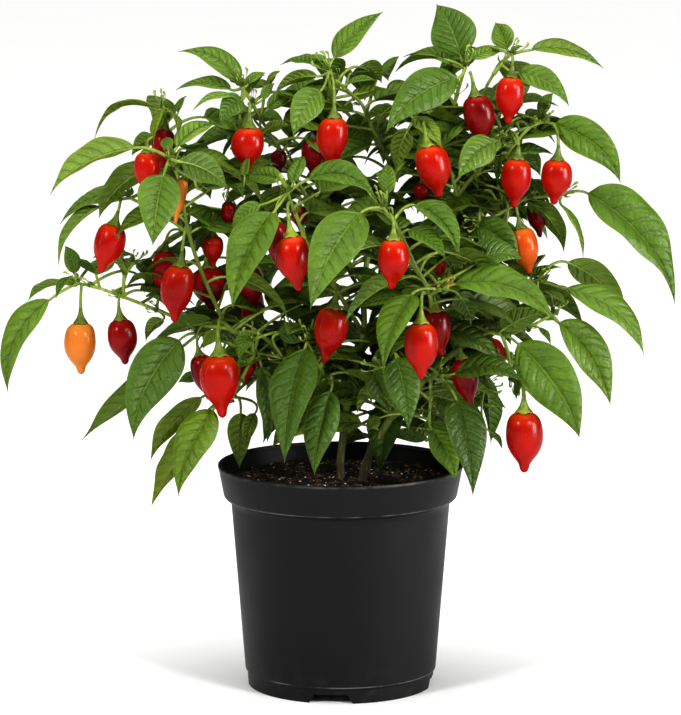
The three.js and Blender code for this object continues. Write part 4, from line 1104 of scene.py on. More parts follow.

# %% Shoot rows
# Each shoot has twigs, as lists of [u, v, near], and leaves, as [base u, v, near, tip u, v, near, visible
# width, arch of the midrib, tone]. The tones are six words, each with a brightness and a yellowing. The
# brightness paints light and shade: old shaded leaves are deep or dark, as painted shade, and young lit
# ones are light, pale or yellow, partly as painted light. The yellowing is the leaves' own colour.
TONES = {
    "deep": (0.0, 0.0), "dark": (0.22, 0.02), "mid": (0.5, 0.08), "light": (0.72, 0.12), "pale": (0.9, 0.25),
    "yellow": (0.5, 0.45),
}
SHOOTS = [
    ("left_top_shoot", [[[-104, 340, 22], [-105, 347, 20], [-106, 354, 18]]], [
        [-110, 354, 17, -149, 338, 8, 4, 10, "yellow"], [-98, 352, 14, -93, 362, 0, 4, 2, "mid"],
        [-108, 353, 22, -113, 333, 49, 6, 3, "yellow"], [-102, 352, 22, -98, 337, 40, 5, 3, "yellow"],
    ]),
    ("left_front_shoot", [
        [[-97, 309, 24], [-100, 318, 40], [-103, 324, 52]],
        [[-100, 318, 40], [-88, 311, 32]],
    ], [
        [-124, 331, 49, -177, 305, 34, 14, 5, "light"], [-107, 314, 69, -114, 272, 94, 26, 3, "mid"],
        [-99, 331, 46, -74, 346, 24, 10, 3, "light"], [-110, 336, 30, -126, 326, 14, 10, 4, "mid"],
        [-96, 322, 62, -68, 306, 53, 18, 3, "dark"], [-84, 306, 26, -57, 311, 12, 10, 2, "dark"],
        [-82, 313, 28, -94, 302, 20, 8, 2, "dark"], [-104, 329, 60, -106, 337, 72, 8, 1, "light"],
    ]),
    ("left_mid_shoot", [[[-92, 279, 20], [-110, 291, 14], [-127, 300, 8]]], [
        [-129, 302, 6, -170, 285, 2, 9, 6, "light"], [-130, 303, 2, -147, 297, -16, 4, 2, "yellow"],
        [-146, 295, 10, -173, 261, 18, 6.5, 4, "light"],
    ]),
    ("left_branch", [
        [[-67, 220, 18], [-92, 224, 18], [-110, 231, 16], [-133, 240, 12], [-150, 246, 8], [-160, 248, 5]],
        [[-132, 240, 12], [-131, 252, 6], [-126, 260, 2]],
    ], [
        [-161, 254, 2, -167, 271, -12, 10, 2, "mid"], [-162, 247, 0, -190, 238, -24, 4, 4, "light"],
        [-163, 252, 8, -173, 239, 24, 5, 3, "mid"], [-177, 238, 6, -203, 181, 12, 16, 8, "light"],
        [-127, 266, -2, -149, 255, -18, 6, 3, "mid"], [-122, 262, -4, -112, 246, -22, 11, 2, "dark"],
        [-108, 226, 10, -119, 213, 0, 8, 2, "yellow"],
    ]),
    ("low_left_shoot", [
        [[-50, 216, 14], [-53, 204, 16], [-60, 190, 20], [-66, 178, 24]],
        [[-53, 204, 16], [-70, 212, 10], [-86, 217, 16]],
        [[-53, 204, 16], [-54, 213, 28]],
    ], [
        [-98, 213, 28, -129, 153, 46, 30, 5, "dark"], [-108, 198, 2, -159, 153, -18, 14, -2, "mid"],
        [-85, 178, 16, -118, 140, 6, 13, 3, "yellow"], [-78, 170, 32, -101, 117, 53, 23, 3, "yellow"],
        [-88, 161, 4, -117, 111, -4, 15, 0, "yellow"], [-61, 168, -4, -62, 134, -10, 15, 2, "yellow"],
        [-52, 168, 12, -57, 147, 14, 9, 2, "yellow"], [-55, 218, 30, -62, 200, 30, 10, 2, "mid"],
        [-76, 218, 18, -84, 208, 24, 8, 1, "yellow"], [-86, 191, 10, -99, 187, 4, 7, 1, "mid"],
    ]),
    ("low_centre_shoot", [
        [[-10, 191, 6], [-14, 200, 24], [-20, 212, 38]],
        [[-14, 200, 24], [-34, 202, 22], [-50, 205, 16]],
        [[-14, 200, 24], [-9, 190, 40]],
    ], [
        [-22, 208, 49, -35, 138, 85, 27, 4, "dark"], [-48, 197, 18, -44, 150, 26, 15, 3, "dark"],
        [-6, 182, 56, -17, 130, 72, 21, 3, "dark"], [-11, 204, 30, -22, 170, 22, 14, 3, "dark"],
        [-38, 217, 30, -12, 214, 34, 13, 2, "deep"],
    ]),
    ("front_centre_shoot", [[[-22, 276, 49], [-27, 290, 57], [-32, 303, 62]]], [
        [-48, 296, 65, -66, 280, 69, 9, 3, "mid"], [-41, 291, 78, -67, 234, 107, 25, 5, "mid"],
        [-19, 312, 65, 22, 300, 75, 14, 8, "mid"], [-36, 311, 53, -58, 313, 34, 11, 2, "mid"],
        [-29, 309, 53, -22, 326, 32, 9, 2, "mid"],
    ]),
    ("top_left_shoot", [
        [[-48, 348, -2], [-53, 357, 3], [-59, 367, 8]],
        [[-53, 357, 3], [-58, 347, 0], [-60, 340, 2]],
    ], [
        [-61, 371, 8, -97, 389, 0, 13, 6, "mid"], [-66, 366, 8, -99, 366, 2, 7, 4, "mid"],
        [-56, 369, 4, -45, 376, -12, 5, 2, "light"], [-62, 361, 16, -89, 354, 30, 5, 4, "light"],
        [-59, 360, 16, -73, 344, 30, 14, 3, "mid"], [-44, 354, 2, -28, 363, -10, 9, 2, "mid"],
        [-62, 339, 2, -80, 345, -12, 7, 2, "mid"], [-46, 340, 8, -30, 344, 14, 7, 2, "yellow"],
        [-47, 360, 4, -40, 370, -4, 6, 1, "light"], [-58, 313, 36, -55, 326, 30, 5, 1, "yellow"],
    ]),
    ("top_centre_shoot", [
        [[3, 366, 8], [-2, 371, 11], [-7, 377, 14]],
        [[-2, 371, 11], [-7, 363, -2], [1, 354, -9]],
    ], [
        [-12, 365, 20, -29, 338, 40, 19, 3, "mid"], [-14, 374, 12, -40, 363, 6, 8, 4, "yellow"],
        [-16, 381, 6, -36, 381, -14, 5, 2, "mid"], [-4, 385, 8, 25, 413, 0, 14, 1, "mid"],
        [4, 369, 16, 22, 371, 20, 4, 2, "yellow"], [7, 360, -10, 36, 363, -20, 7, 3, "yellow"],
        [6, 350, -10, 17, 328, -20, 17, 2, "dark"], [-8, 382, 10, -21, 386, 4, 3, 1, "light"],
    ]),
    ("crown_shoot", [[[66, 345, -6], [70, 362, 0], [75, 379, 6]]], [
        [70, 373, 16, 26, 341, 46, 25, 6, "dark"], [68, 381, 0, 38, 387, -16, 5, 3, "mid"],
        [72, 386, 4, 58, 417, -6, 28, 2, "dark"], [78, 384, 6, 97, 389, -8, 8, 2, "light"],
    ]),
    ("inner_right_shoot", [
        [[68, 313, -11], [60, 331, -2], [45, 348, 14]],
        [[60, 331, -2], [76, 336, 4], [90, 336, 14]],
    ], [
        [82, 342, -4, 60, 341, -22, 7, 2, "yellow"], [93, 334, 20, 71, 312, 40, 19, 3, "light"],
        [44, 349, 24, 61, 331, 46, 11, 2, "pale"], [47, 352, 16, 64, 356, 4, 7, 2, "light"],
        [41, 342, 10, 34, 316, 4, 13, 2, "yellow"], [31, 356, 12, 22, 342, 4, 8, 2, "mid"],
        [96, 335, 16, 84, 321, 28, 9, 2, "pale"],
    ]),
    ("top_right_shoot", [[[92, 375, 5], [97, 381, 4], [102, 387, 4]]], [
        [115, 390, 4, 158, 379, -4, 9, 4.5, "yellow"], [106, 376, 10, 138, 357, 22, 14, 5, "mid"],
        [100, 390, 0, 93, 406, -14, 14, 2, "mid"], [103, 388, 4, 110, 392, -4, 3, 1, "pale"],
    ]),
    ("right_top_shoot", [
        [[108, 341, 9], [114, 343, 10], [121, 346, 10]],
        [[114, 343, 10], [106, 334, 13], [101, 327, 11]],
    ], [
        [129, 345, 12, 171, 312, 24, 22, 6, "mid"], [121, 350, 4, 128, 364, -8, 8, 2, "light"],
        [100, 325, 10, 128, 328, 2, 7, 2, "mid"], [97, 327, 12, 95, 309, 18, 5, 1, "mid"],
    ]),
    ("right_tip_shoot", [
        [[106, 299, -2], [112, 300, 0], [134, 302, 3]],
        [[112, 300, 0], [97, 291, 5], [84, 285, 13]],
    ], [
        [150, 303, 6, 206, 238, 20, 27, 8, "mid"], [134, 296, 8, 148, 264, 18, 4, 3, "light"],
        [114, 298, -6, 137, 269, -18, 13, 3, "mid"], [82, 283, 14, 108, 261, 28, 20, 4, "dark"],
        [85, 318, -14, 78, 283, -24, 22, 3, "yellow"],
    ]),
    ("right_mid_shoot", [[[105, 244, 8], [112, 247, 11], [120, 250, 15]]], [
        [137, 245, 20, 186, 206, 37, 17, 8, "light"], [138, 261, 4, 173, 228, -8, 18, 5, "mid"],
        [122, 243, 22, 138, 234, 37, 4, 2, "light"], [115, 251, 14, 134, 258, 8, 5, 2, "mid"],
    ]),
    ("front_shoot", [[[37, 278, 69], [32, 286, 70], [26, 294, 70]]], [
        [28, 302, 59, 28, 322, 40, 11, 2, "mid"], [22, 294, 62, 9, 299, 43, 8, 1, "mid"],
        [12, 291, 81, -19, 233, 120, 30, 6, "mid"], [45, 296, 72, 73, 265, 91, 14, 6, "mid"],
        [42, 281, 75, 64, 264, 97, 12, 3, "mid"],
    ]),
    ("front_right_shoot", [[[54, 241, 61], [58, 243, 67], [61, 244, 72]]], [
        [43, 241, 85, 25, 195, 120, 20, 4, "mid"], [70, 248, 75, 132, 227, 94, 20, 7, "mid"],
        [62, 249, 59, 84, 256, 40, 5, 2, "light"], [71, 242, 56, 80, 223, 44, 14, 2, "dark"],
    ]),
    ("low_right_shoot", [
        [[90, 218, 37], [98, 217, 38], [112, 220, 34], [129, 229, 32]],
        [[98, 217, 38], [102, 205, 32], [104, 192, 31]],
    ], [
        [98, 219, 46, 127, 230, 62, 14, 3, "dark"], [108, 211, 49, 148, 155, 78, 32, 4, "mid"],
        [133, 224, 30, 165, 173, 30, 22, 6, "light"], [110, 186, 30, 123, 174, 46, 6, 2, "mid"],
        [121, 221, 38, 128, 211, 48, 4, 1, "mid"], [110, 190, 34, 107, 176, 42, 5, 1, "yellow"],
    ]),
    ("base_right_shoot", [
        [[50, 188, 16], [55, 190, 26], [60, 192, 38]],
        [[55, 190, 26], [55, 176, 32], [54, 164, 32]],
        [[55, 190, 26], [38, 197, 38], [25, 196, 38]],
        [[55, 190, 26], [72, 187, 16], [88, 184, 8]],
    ], [
        [70, 193, 49, 111, 189, 72, 15, 5, "dark"], [71, 176, 56, 82, 117, 85, 24, 5, "dark"],
        [90, 181, 4, 92, 150, -6, 12, 3, "dark"], [34, 202, 56, 42, 158, 78, 22, 3, "dark"],
        [20, 194, 37, 31, 168, 56, 18, 2, "dark"], [56, 158, 37, 71, 126, 49, 17, 3, "mid"],
        [91, 157, 6, 99, 146, 0, 4, 1, "dark"], [53, 152, 26, 31, 153, 22, 9, 2, "deep"],
        [24, 165, 36, 16, 157, 42, 8, 1, "yellow"],
    ]),
]
BLADE_SLIMNESS = 0.42
SUNLIT = 0.35
SUNLIT_FROM = 260


def sunlit(tone, base):
    """A tone made brighter high on the plant and darker low on it."""
    return tone + SUNLIT * (base[2] - SUNLIT_FROM) / SUNLIT_FROM


def tone_of(word, chance):
    """A leaf's brightness, yellowing and chance number, a little off what its word says."""
    tone, yellow = TONES[word]
    return tone + chance.uniform(-0.12, 0.12), yellow * chance.uniform(0.5, 1.5), chance.uniform()


def read_leaf(row, chance):
    """A leaf from its row: a blade wide enough for its length, turned to show the width that is seen."""
    base, tip = seen(row[:3]), seen(row[3:6])
    chord = tip - base
    scale = (VIEW_DISTANCE - (row[2] + row[5]) / 2) / VIEW_DISTANCE
    width = max(row[6] * scale, BLADE_SLIMNESS * np.linalg.norm(chord))
    sight = unit(seen((0, VIEW_HEIGHT, VIEW_DISTANCE)) - base)
    chord = unit(chord)
    side, over = across(chord)
    turn = blade_turn(side, over, sight, chord, row[6] * scale / width)
    tone, yellow, number = tone_of(row[8], chance)
    look = (sunlit(tone, base), yellow, number)
    return {"base": base, "tip": tip, "width": width, "arch": row[7], "turn": turn, "look": look}


# %% Shoots
TWIG_GIRTH = 1.05
TWIG_SIDES = 9
TWIG_STEP = 1.8
TWIG_SWELL = 0.28
TWIG_SWELL_REACH = 2.2
EDGE_ANGLE = 70  # degrees; where faces meet more sharply, as at a blade's edge, the shading is not smoothed


def leafy(name, bag, sides, knobbly):
    """One finished mesh of a bag's blades and stalks, with clean edges to the blades."""
    piece = cooked(
        name, bag.mesh(name), stalk_recipe, (leaf_top, leaf_under), sides=sides, knobbly=knobbly,
        material=green_bark,
    )
    piece.data.set_sharp_from_angle(angle=math.radians(EDGE_ANGLE))
    return piece


def grow_shoot(name, lines, leaves, chance):
    """Makes one piece of a shoot's twigs and leaves."""
    bag = Bag()
    for points in lines:
        line = smooth_line(points, max(4, int(length_of(points) / TWIG_STEP)))
        girth = np.linspace(TWIG_GIRTH * 1.1, TWIG_GIRTH * 0.85, len(line))
        bag.line(line, swollen(girth, line, points, TWIG_SWELL, TWIG_SWELL_REACH))
    joints = np.concatenate(lines)
    for leaf in leaves:
        if "start" not in leaf:
            leaf["start"] = joints[np.argmin(np.linalg.norm(joints - leaf["base"], axis=1))]
        add_leaf(bag, leaf, chance)
    shoot = leafy(name + "_leaves", bag, TWIG_SIDES, 0.0003)
    return joined_in(shoot, "leaf", *known(name))


SHOOT_SEED = 100

tips = []
twig_lines = []
for seed, (name, twigs, rows) in enumerate(SHOOTS):
    chance = np.random.default_rng(SHOOT_SEED + seed)
    lines = [np.array([seen(point) for point in twig]) for twig in twigs]
    twig_lines += lines
    shoot = grow_shoot(name, lines, [read_leaf(row, chance) for row in rows], chance)
    tips += [(line[-1], unit(line[-1] - line[-2]), 1.0) for line in lines]
    tips += [(point, unit(line[1] - line[0]), 0.7) for line in lines for point in line[1:-1]]
    print(shoot.name, len(rows), "leaves,", len(shoot.data.polygons), "faces")

# %% [markdown]
# ## The side that the picture doesn't show
#
# A plant leafs out all round. At the back, each shoot climbs a twig with a leaf every 137.5 degrees, which
# is the turn that keeps leaves out of one another's shade, and the leaves droop by turns.

# %% Back shoots
BACK_SHOOTS = [
    ("back_left_shoot", [[-14, 193, 5], [-38, 212, -30], [-60, 250, -62], [-66, 292, -76]], 60, 7, 20),
    ("back_centre_shoot", [[14, 240, -7], [2, 262, -34], [-10, 292, -62], [-16, 326, -76]], 60, 8, 75),
    ("back_right_shoot", [[58, 233, -24], [66, 246, -46], [78, 272, -68], [84, 304, -80]], 60, 7, 140),
    ("back_low_shoot", [[4, 178, 0], [-8, 190, -28], [-22, 202, -58], [-30, 218, -82]], 58, 7, 50),
    ("back_low_right_shoot", [[32, 174, -22], [40, 184, -46], [50, 196, -68], [56, 214, -84]], 56, 7, 110),
]
BARE_STEPS = 3
BACK_STAND_OFF = 9
BACK_DROOP = 0.75
GOLDEN_TURN = 137.5
STALK_LIFT = 3
BACK_SEED = 200


def climbing_leaves(line, length, count, first_turn, chance):
    """Leaves turned one after the other about a twig, from the top down."""
    leaves = []
    for i in range(count):
        turn = math.radians(first_turn + i * GOLDEN_TURN)
        start = line[-1 - i]
        out = unit([math.cos(turn), 0.8 * abs(math.sin(turn)) + 0.1, 0])
        size = length * (0.84 + 0.2 * math.sin(2.3 * i + first_turn))
        base = start + out * BACK_STAND_OFF + UP * STALK_LIFT
        tip = base + out * 0.78 * size - UP * BACK_DROOP * size * (0.35 + 0.3 * (i % 3))
        leaves.append({
            "start": start, "base": base, "tip": tip, "width": 0.46 * size, "arch": 0.1 * size,
            "turn": 0.3 * math.sin(1.7 * i), "look": tone_of("mid", chance),
        })
    return leaves


back_lines = []
for seed, (name, twig, length, count, first_turn) in enumerate(BACK_SHOOTS):
    chance = np.random.default_rng(BACK_SEED + seed)
    line = smooth_line([seen(point) for point in twig], count + BARE_STEPS)
    back_lines.append(line)
    shoot = grow_shoot(name, [line], climbing_leaves(line, length, count, first_turn, chance), chance)
    tips.append((line[-1], unit(line[-1] - line[-2]), 1.0))
    print(shoot.name, len(shoot.data.polygons), "faces")

# %% [markdown]
# ## Inner leaves
#
# Between the stems the plant is dense with older leaves that the outer ones shade, and their tone is drawn
# darker, which is painted shade. They leave the stems themselves, at regular steps, each turned by the same
# golden angle from the one before, and they point sideways and back so that the fruits in front stay clear.

# %% Inner leaves
# Each row is a stem's name, its fork, the share of the fork where leaves start and end, how many, and their
# length.
INNER = [
    ("main_stem", 0, 0.16, 0.92, 44, 54), ("main_stem", 1, 0.15, 0.9, 26, 46),
    ("main_stem", 2, 0.2, 0.9, 16, 46), ("main_stem", 3, 0.1, 0.95, 26, 48),
    ("right_stem", 0, 0.3, 0.95, 24, 48), ("right_stem", 1, 0.15, 0.9, 20, 46),
    ("back_stem", 0, 0.2, 0.85, 44, 54), ("back_stem", 1, 0.1, 0.9, 9, 42),
    ("back_stem", 2, 0.2, 0.9, 10, 42), ("back_stem", 3, 0.1, 0.9, 14, 48),
]
INNER_REACH = 8
INNER_SPREAD = 28
INNER_SIDES = 6
INNER_KNOBBLY = 0.0002
INNER_FIRST_TURN = 40
INNER_TURN_STEP = 53
INNER_SEED = 7


def inner_leaves(line, count, length, first_turn, inward, chance):
    """Older leaves at regular steps on a line. inward draws them towards the middle of the plant."""
    leaves = []
    for i, place in enumerate(np.linspace(0, len(line) - 1, count).astype(int)):
        turn = math.radians(first_turn + i * GOLDEN_TURN)
        sideways = math.cos(turn) - inward * np.sign(line[place][0])
        out = unit([sideways, 0.8 * abs(math.sin(turn)) - 0.2 + inward, chance.uniform(-0.05, 0.5)])
        size = length * chance.uniform(0.7, 1.15)
        base = line[place] + out * (INNER_REACH + INNER_SPREAD * chance.uniform() ** 1.5) + UP * STALK_LIFT
        tip = base + out * 0.75 * size - UP * size * chance.uniform(0.15, 0.75)
        leaves.append({
            "start": line[place], "base": base, "tip": tip, "width": size * chance.uniform(0.48, 0.6),
            "arch": size * chance.uniform(0.04, 0.12), "turn": chance.uniform(-0.6, 0.6),
            # Painted shade: inner leaves get a darker tone than the outer ones.
            "look": (sunlit(chance.uniform(0.15, 0.62), base), chance.uniform(0, 0.3), chance.uniform()),
            "coarse": True,
        })
    return leaves


forks = {(name, i): fork for name, rows in STEMS for i, fork in enumerate(rows)}
chance = np.random.default_rng(INNER_SEED)
bags = {name: Bag() for name, _ in STEMS}
for i, (name, fork, low, high, count, length) in enumerate(INNER):
    line, _ = stem_line(forks[name, fork], [])
    chosen = line[int(low * (len(line) - 1)):int(high * (len(line) - 1))]
    first_turn = INNER_FIRST_TURN + INNER_TURN_STEP * i
    for leaf in inner_leaves(chosen, count, length, first_turn, 0.0, chance):
        add_leaf(bags[name], leaf, chance)
for name, bag in bags.items():
    inner = joined_in(leafy(name + "_inner_leaves", bag, INNER_SIDES, INNER_KNOBBLY), "leaf")
    print(inner.name, len(inner.data.polygons), "faces")

# %% Older leaves along the twigs
# The shoots' twigs keep a few older leaves too. On the front twigs they lean back and inward, behind the
# young ones, and on the back twigs they reach forward into the middle of the plant.
TWIG_LEAF_GAP = 11
TWIG_LEAF_LENGTH = 44
TWIG_STEPS = 12
TWIG_FIRST_TURN = 20
TWIG_TURN_STEP = 71
INWARD = 0.8
FORWARD = -0.8

bag = Bag()
twig_count = 0
older_twigs = [(points, INWARD) for points in twig_lines] + [(points, FORWARD) for points in back_lines]
for i, (points, inward) in enumerate(older_twigs):
    count = 1 + round(length_of(points) / TWIG_LEAF_GAP)
    twig_count += count
    line = smooth_line(points, TWIG_STEPS)
    first_turn = TWIG_FIRST_TURN + TWIG_TURN_STEP * i
    for leaf in inner_leaves(line, count, TWIG_LEAF_LENGTH, first_turn, inward, chance):
        add_leaf(bag, leaf, chance)
older = leafy("older_leaves", bag, INNER_SIDES, INNER_KNOBBLY)
joined_in(older, "leaf")
print("older leaves:", twig_count, "with", len(older.data.polygons), "faces")

# %% [markdown]
# ## Young growth
#
# Every tip ends in a tuft: a few leaves no longer than a fingernail, and flower buds on thread-like stalks.
# They repeat over the whole plant, so a tree places them: it copies each tip's point, leans each copy out,
# turns it by the golden angle from the last, and puts a small mesh there at a chance size.

# %% Tuft recipe
tuft_recipe, given, output = new_recipe(
    "tufts", shoot=("Object", None), copies=("Int", 5), smallest=("Float", 0.5), largest=("Float", 1.0),
    lean=("Float", 0.8), seed=("Int", 1), tone=("Float", 0.8), material=("Material", None),
)
tree = tuft_recipe
points = wire(tree, "GeometryNodeMeshToPoints", {"Mesh": given["Geometry"]}).outputs[0]
copies = wire(tree, "GeometryNodeDuplicateElements", {
    "Geometry": points, "Amount": given["copies"],
}, domain="POINT")
order = copies.outputs["Duplicate Index"]
aim, vigour = stored(tree, "aim", "FLOAT_VECTOR"), stored(tree, "vigour")
upright = wire(tree, "FunctionNodeAlignRotationToVector", {"Vector": aim}, axis="Z").outputs[0]
wobble = chance_of(tree, -0.5, 0.5, given["seed"])
around = sums(tree, "MULTIPLY_ADD", order, math.radians(GOLDEN_TURN), wobble)
lean = sums(tree, "MULTIPLY", given["lean"], chance_of(tree, 0.35, 1.25, sums(tree, "ADD", given["seed"], 9)))
spin = wire(tree, "ShaderNodeCombineXYZ", {"X": lean, "Z": around}).outputs[0]
turn = wire(tree, "FunctionNodeEulerToRotation", {0: spin}).outputs[0]
turn = wire(tree, "FunctionNodeRotateRotation", {0: upright, 1: turn}, rotation_space="LOCAL").outputs[0]
size = chance_of(tree, given["smallest"], given["largest"], sums(tree, "ADD", given["seed"], 4))
young = wire(tree, "GeometryNodeObjectInfo", {"Object": given["shoot"]}).outputs["Geometry"]
scattered = wire(tree, "GeometryNodeInstanceOnPoints", {
    "Points": copies.outputs["Geometry"], "Instance": young, "Rotation": turn,
    "Scale": sums(tree, "MULTIPLY", size, vigour),
}).outputs[0]
look = wire(tree, "ShaderNodeCombineXYZ", {
    "X": sums(tree, "ADD", given["tone"], chance_of(tree, -0.2, 0.2, given["seed"])),
    "Y": chance_of(tree, 0.0, 0.35, sums(tree, "ADD", given["seed"], 6)),
}).outputs[0]
scattered = wire(tree, "GeometryNodeStoreNamedAttribute", {
    "Geometry": scattered, "Name": "leaf_look", "Value": look,
}, domain="INSTANCE", data_type="FLOAT_VECTOR").outputs[0]
finish_recipe(tree, scattered, given["material"], output)
print("tuft recipe:", len(tree.nodes), "nodes")


# %% A young leaf and a bud
def young_leaf():
    """A folded young leaf about 10 mm long that stands on the origin and bends outwards, with few faces."""
    bag = Bag()
    s, t = np.linspace(0, 1, 8), np.linspace(-1, 1, 5)
    bend = 0.55 * s
    middle = np.stack([0 * s, 10 * (1 - np.cos(bend)), 1.5 + 10 * np.sin(bend)], axis=1)
    half = 2.3 * (np.clip(s, 0.02, 1) / 0.35) ** 0.7 * (np.clip(1 - s, 0.02, 1) / 0.65) ** 1.3
    half = np.maximum(half, 0.12)
    face = np.stack([0 * s, -np.cos(bend), np.sin(bend) * 0.6], axis=1)
    rings = []
    for thick, lanes in ((0.0, t), (0.2, t[-2:0:-1])):
        lift = 0.35 * np.abs(lanes)[None, :] * half[:, None] - thick
        rings.append(middle[:, None] + face[:, None] * lift[..., None]
                     + RIGHT * (half[:, None] * lanes)[..., None])
    rings = np.concatenate(rings, axis=1)
    around = rings.shape[1]
    uv = [(a, 0.5 + 0.5 * b) for a in s for b in (*t, *t[-2:0:-1])]
    bag.add(rings.reshape(-1, 3), np.array(uv), (0, 0, 0), 0.0, 0.0)
    for i in range(len(s) - 1):
        for k in range(around):
            a, b = i * around + k, i * around + (k + 1) % around
            bag.faces.append((a, a + around, b + around, b))
    bag.faces += [tuple(range(around)), tuple(reversed(range((len(s) - 1) * around, len(s) * around)))]
    bag.slots = [0] * len(bag.faces)
    mesh = bag.mesh("young_leaf")
    mesh.attributes.remove(mesh.attributes["leaf_look"])
    return placed("young_leaf", mesh)


def flower_bud():
    """A drooping bud on a thread-like stalk, about 12 mm long, with few faces."""
    shape = bmesh.new()
    path = bow(np.array([0, 0, 0.0]), np.array([0, 0.8, 8.0]), np.array([0, 2.6, 11.6]), 6)
    girths = [0.3, 0.25, 0.23, 0.23, 0.26, 0.36, 0.65]
    path = np.concatenate([path, [[0, 3.3, 12.5], [0, 4.3, 12.9], [0, 5.3, 12.5]]])
    girths += [0.95, 0.75, 0.2]
    rings = []
    for i, (middle, girth) in enumerate(zip(path, girths)):
        ahead = unit(path[min(i + 1, len(path) - 1)] - path[max(i - 1, 0)])
        over = np.cross(RIGHT, ahead)
        turns = np.linspace(0, 2 * math.pi, 7)[:-1]
        rings.append([
            shape.verts.new(Vector(middle + girth * (math.cos(a) * RIGHT + math.sin(a) * over)) * MM)
            for a in turns
        ])
    bridged(shape, rings)
    shape.faces.new(rings[0])
    shape.faces.new(rings[-1])
    return placed("flower_bud", closed_mesh("flower_bud", shape))


def tip_points():
    """A mesh of loose points at the shoots' tips, with each tip's direction and strength."""
    mesh = bpy.data.meshes.new("tips")
    mesh.from_pydata([tuple(point * MM) for point, _, _ in tips], [], [])
    aims = np.array([unit(aim + UP * 0.5) for _, aim, _ in tips], np.float32)
    mesh.attributes.new("aim", "FLOAT_VECTOR", "POINT").data.foreach_set("vector", aims.ravel())
    strengths = np.array([strength for _, _, strength in tips], np.float32)
    mesh.attributes.new("vigour", "FLOAT", "POINT").data.foreach_set("value", strengths)
    return mesh


YOUNG = [
    # name, mesh, copies at each tip, smallest, largest, lean, seed, tone, finish
    ("young_leaves", young_leaf(), 4, 0.4, 1.3, 0.85, 3, 0.85, leaf_top),
    ("flower_buds", flower_bud(), 7, 0.35, 1.05, 0.8, 8, 0.9, green_bark),
]
for name, shoot, copies, smallest, largest, lean, seed, tone, finish in YOUNG:
    growth = cooked(
        name, tip_points(), tuft_recipe, shoot=shoot, copies=copies, smallest=smallest, largest=largest,
        lean=lean, seed=seed, tone=tone, material=finish,
    )
    bpy.data.objects.remove(shoot)
    joined_in(growth, "leaf")
    print(name, len(growth.data.polygons), "faces at", len(tips), "tips")

# %% [markdown]
# ## Fruits
#
# Each fruit is a teardrop that hangs from a stalk: round shoulders under a small green cup, widest a third of
# the way down, and drawn in to a nipple at the tip. It is turned from one outline like the pot, then made
# slightly three-lobed and bent, because no fruit is perfectly round. Cup and stalk are a second piece.

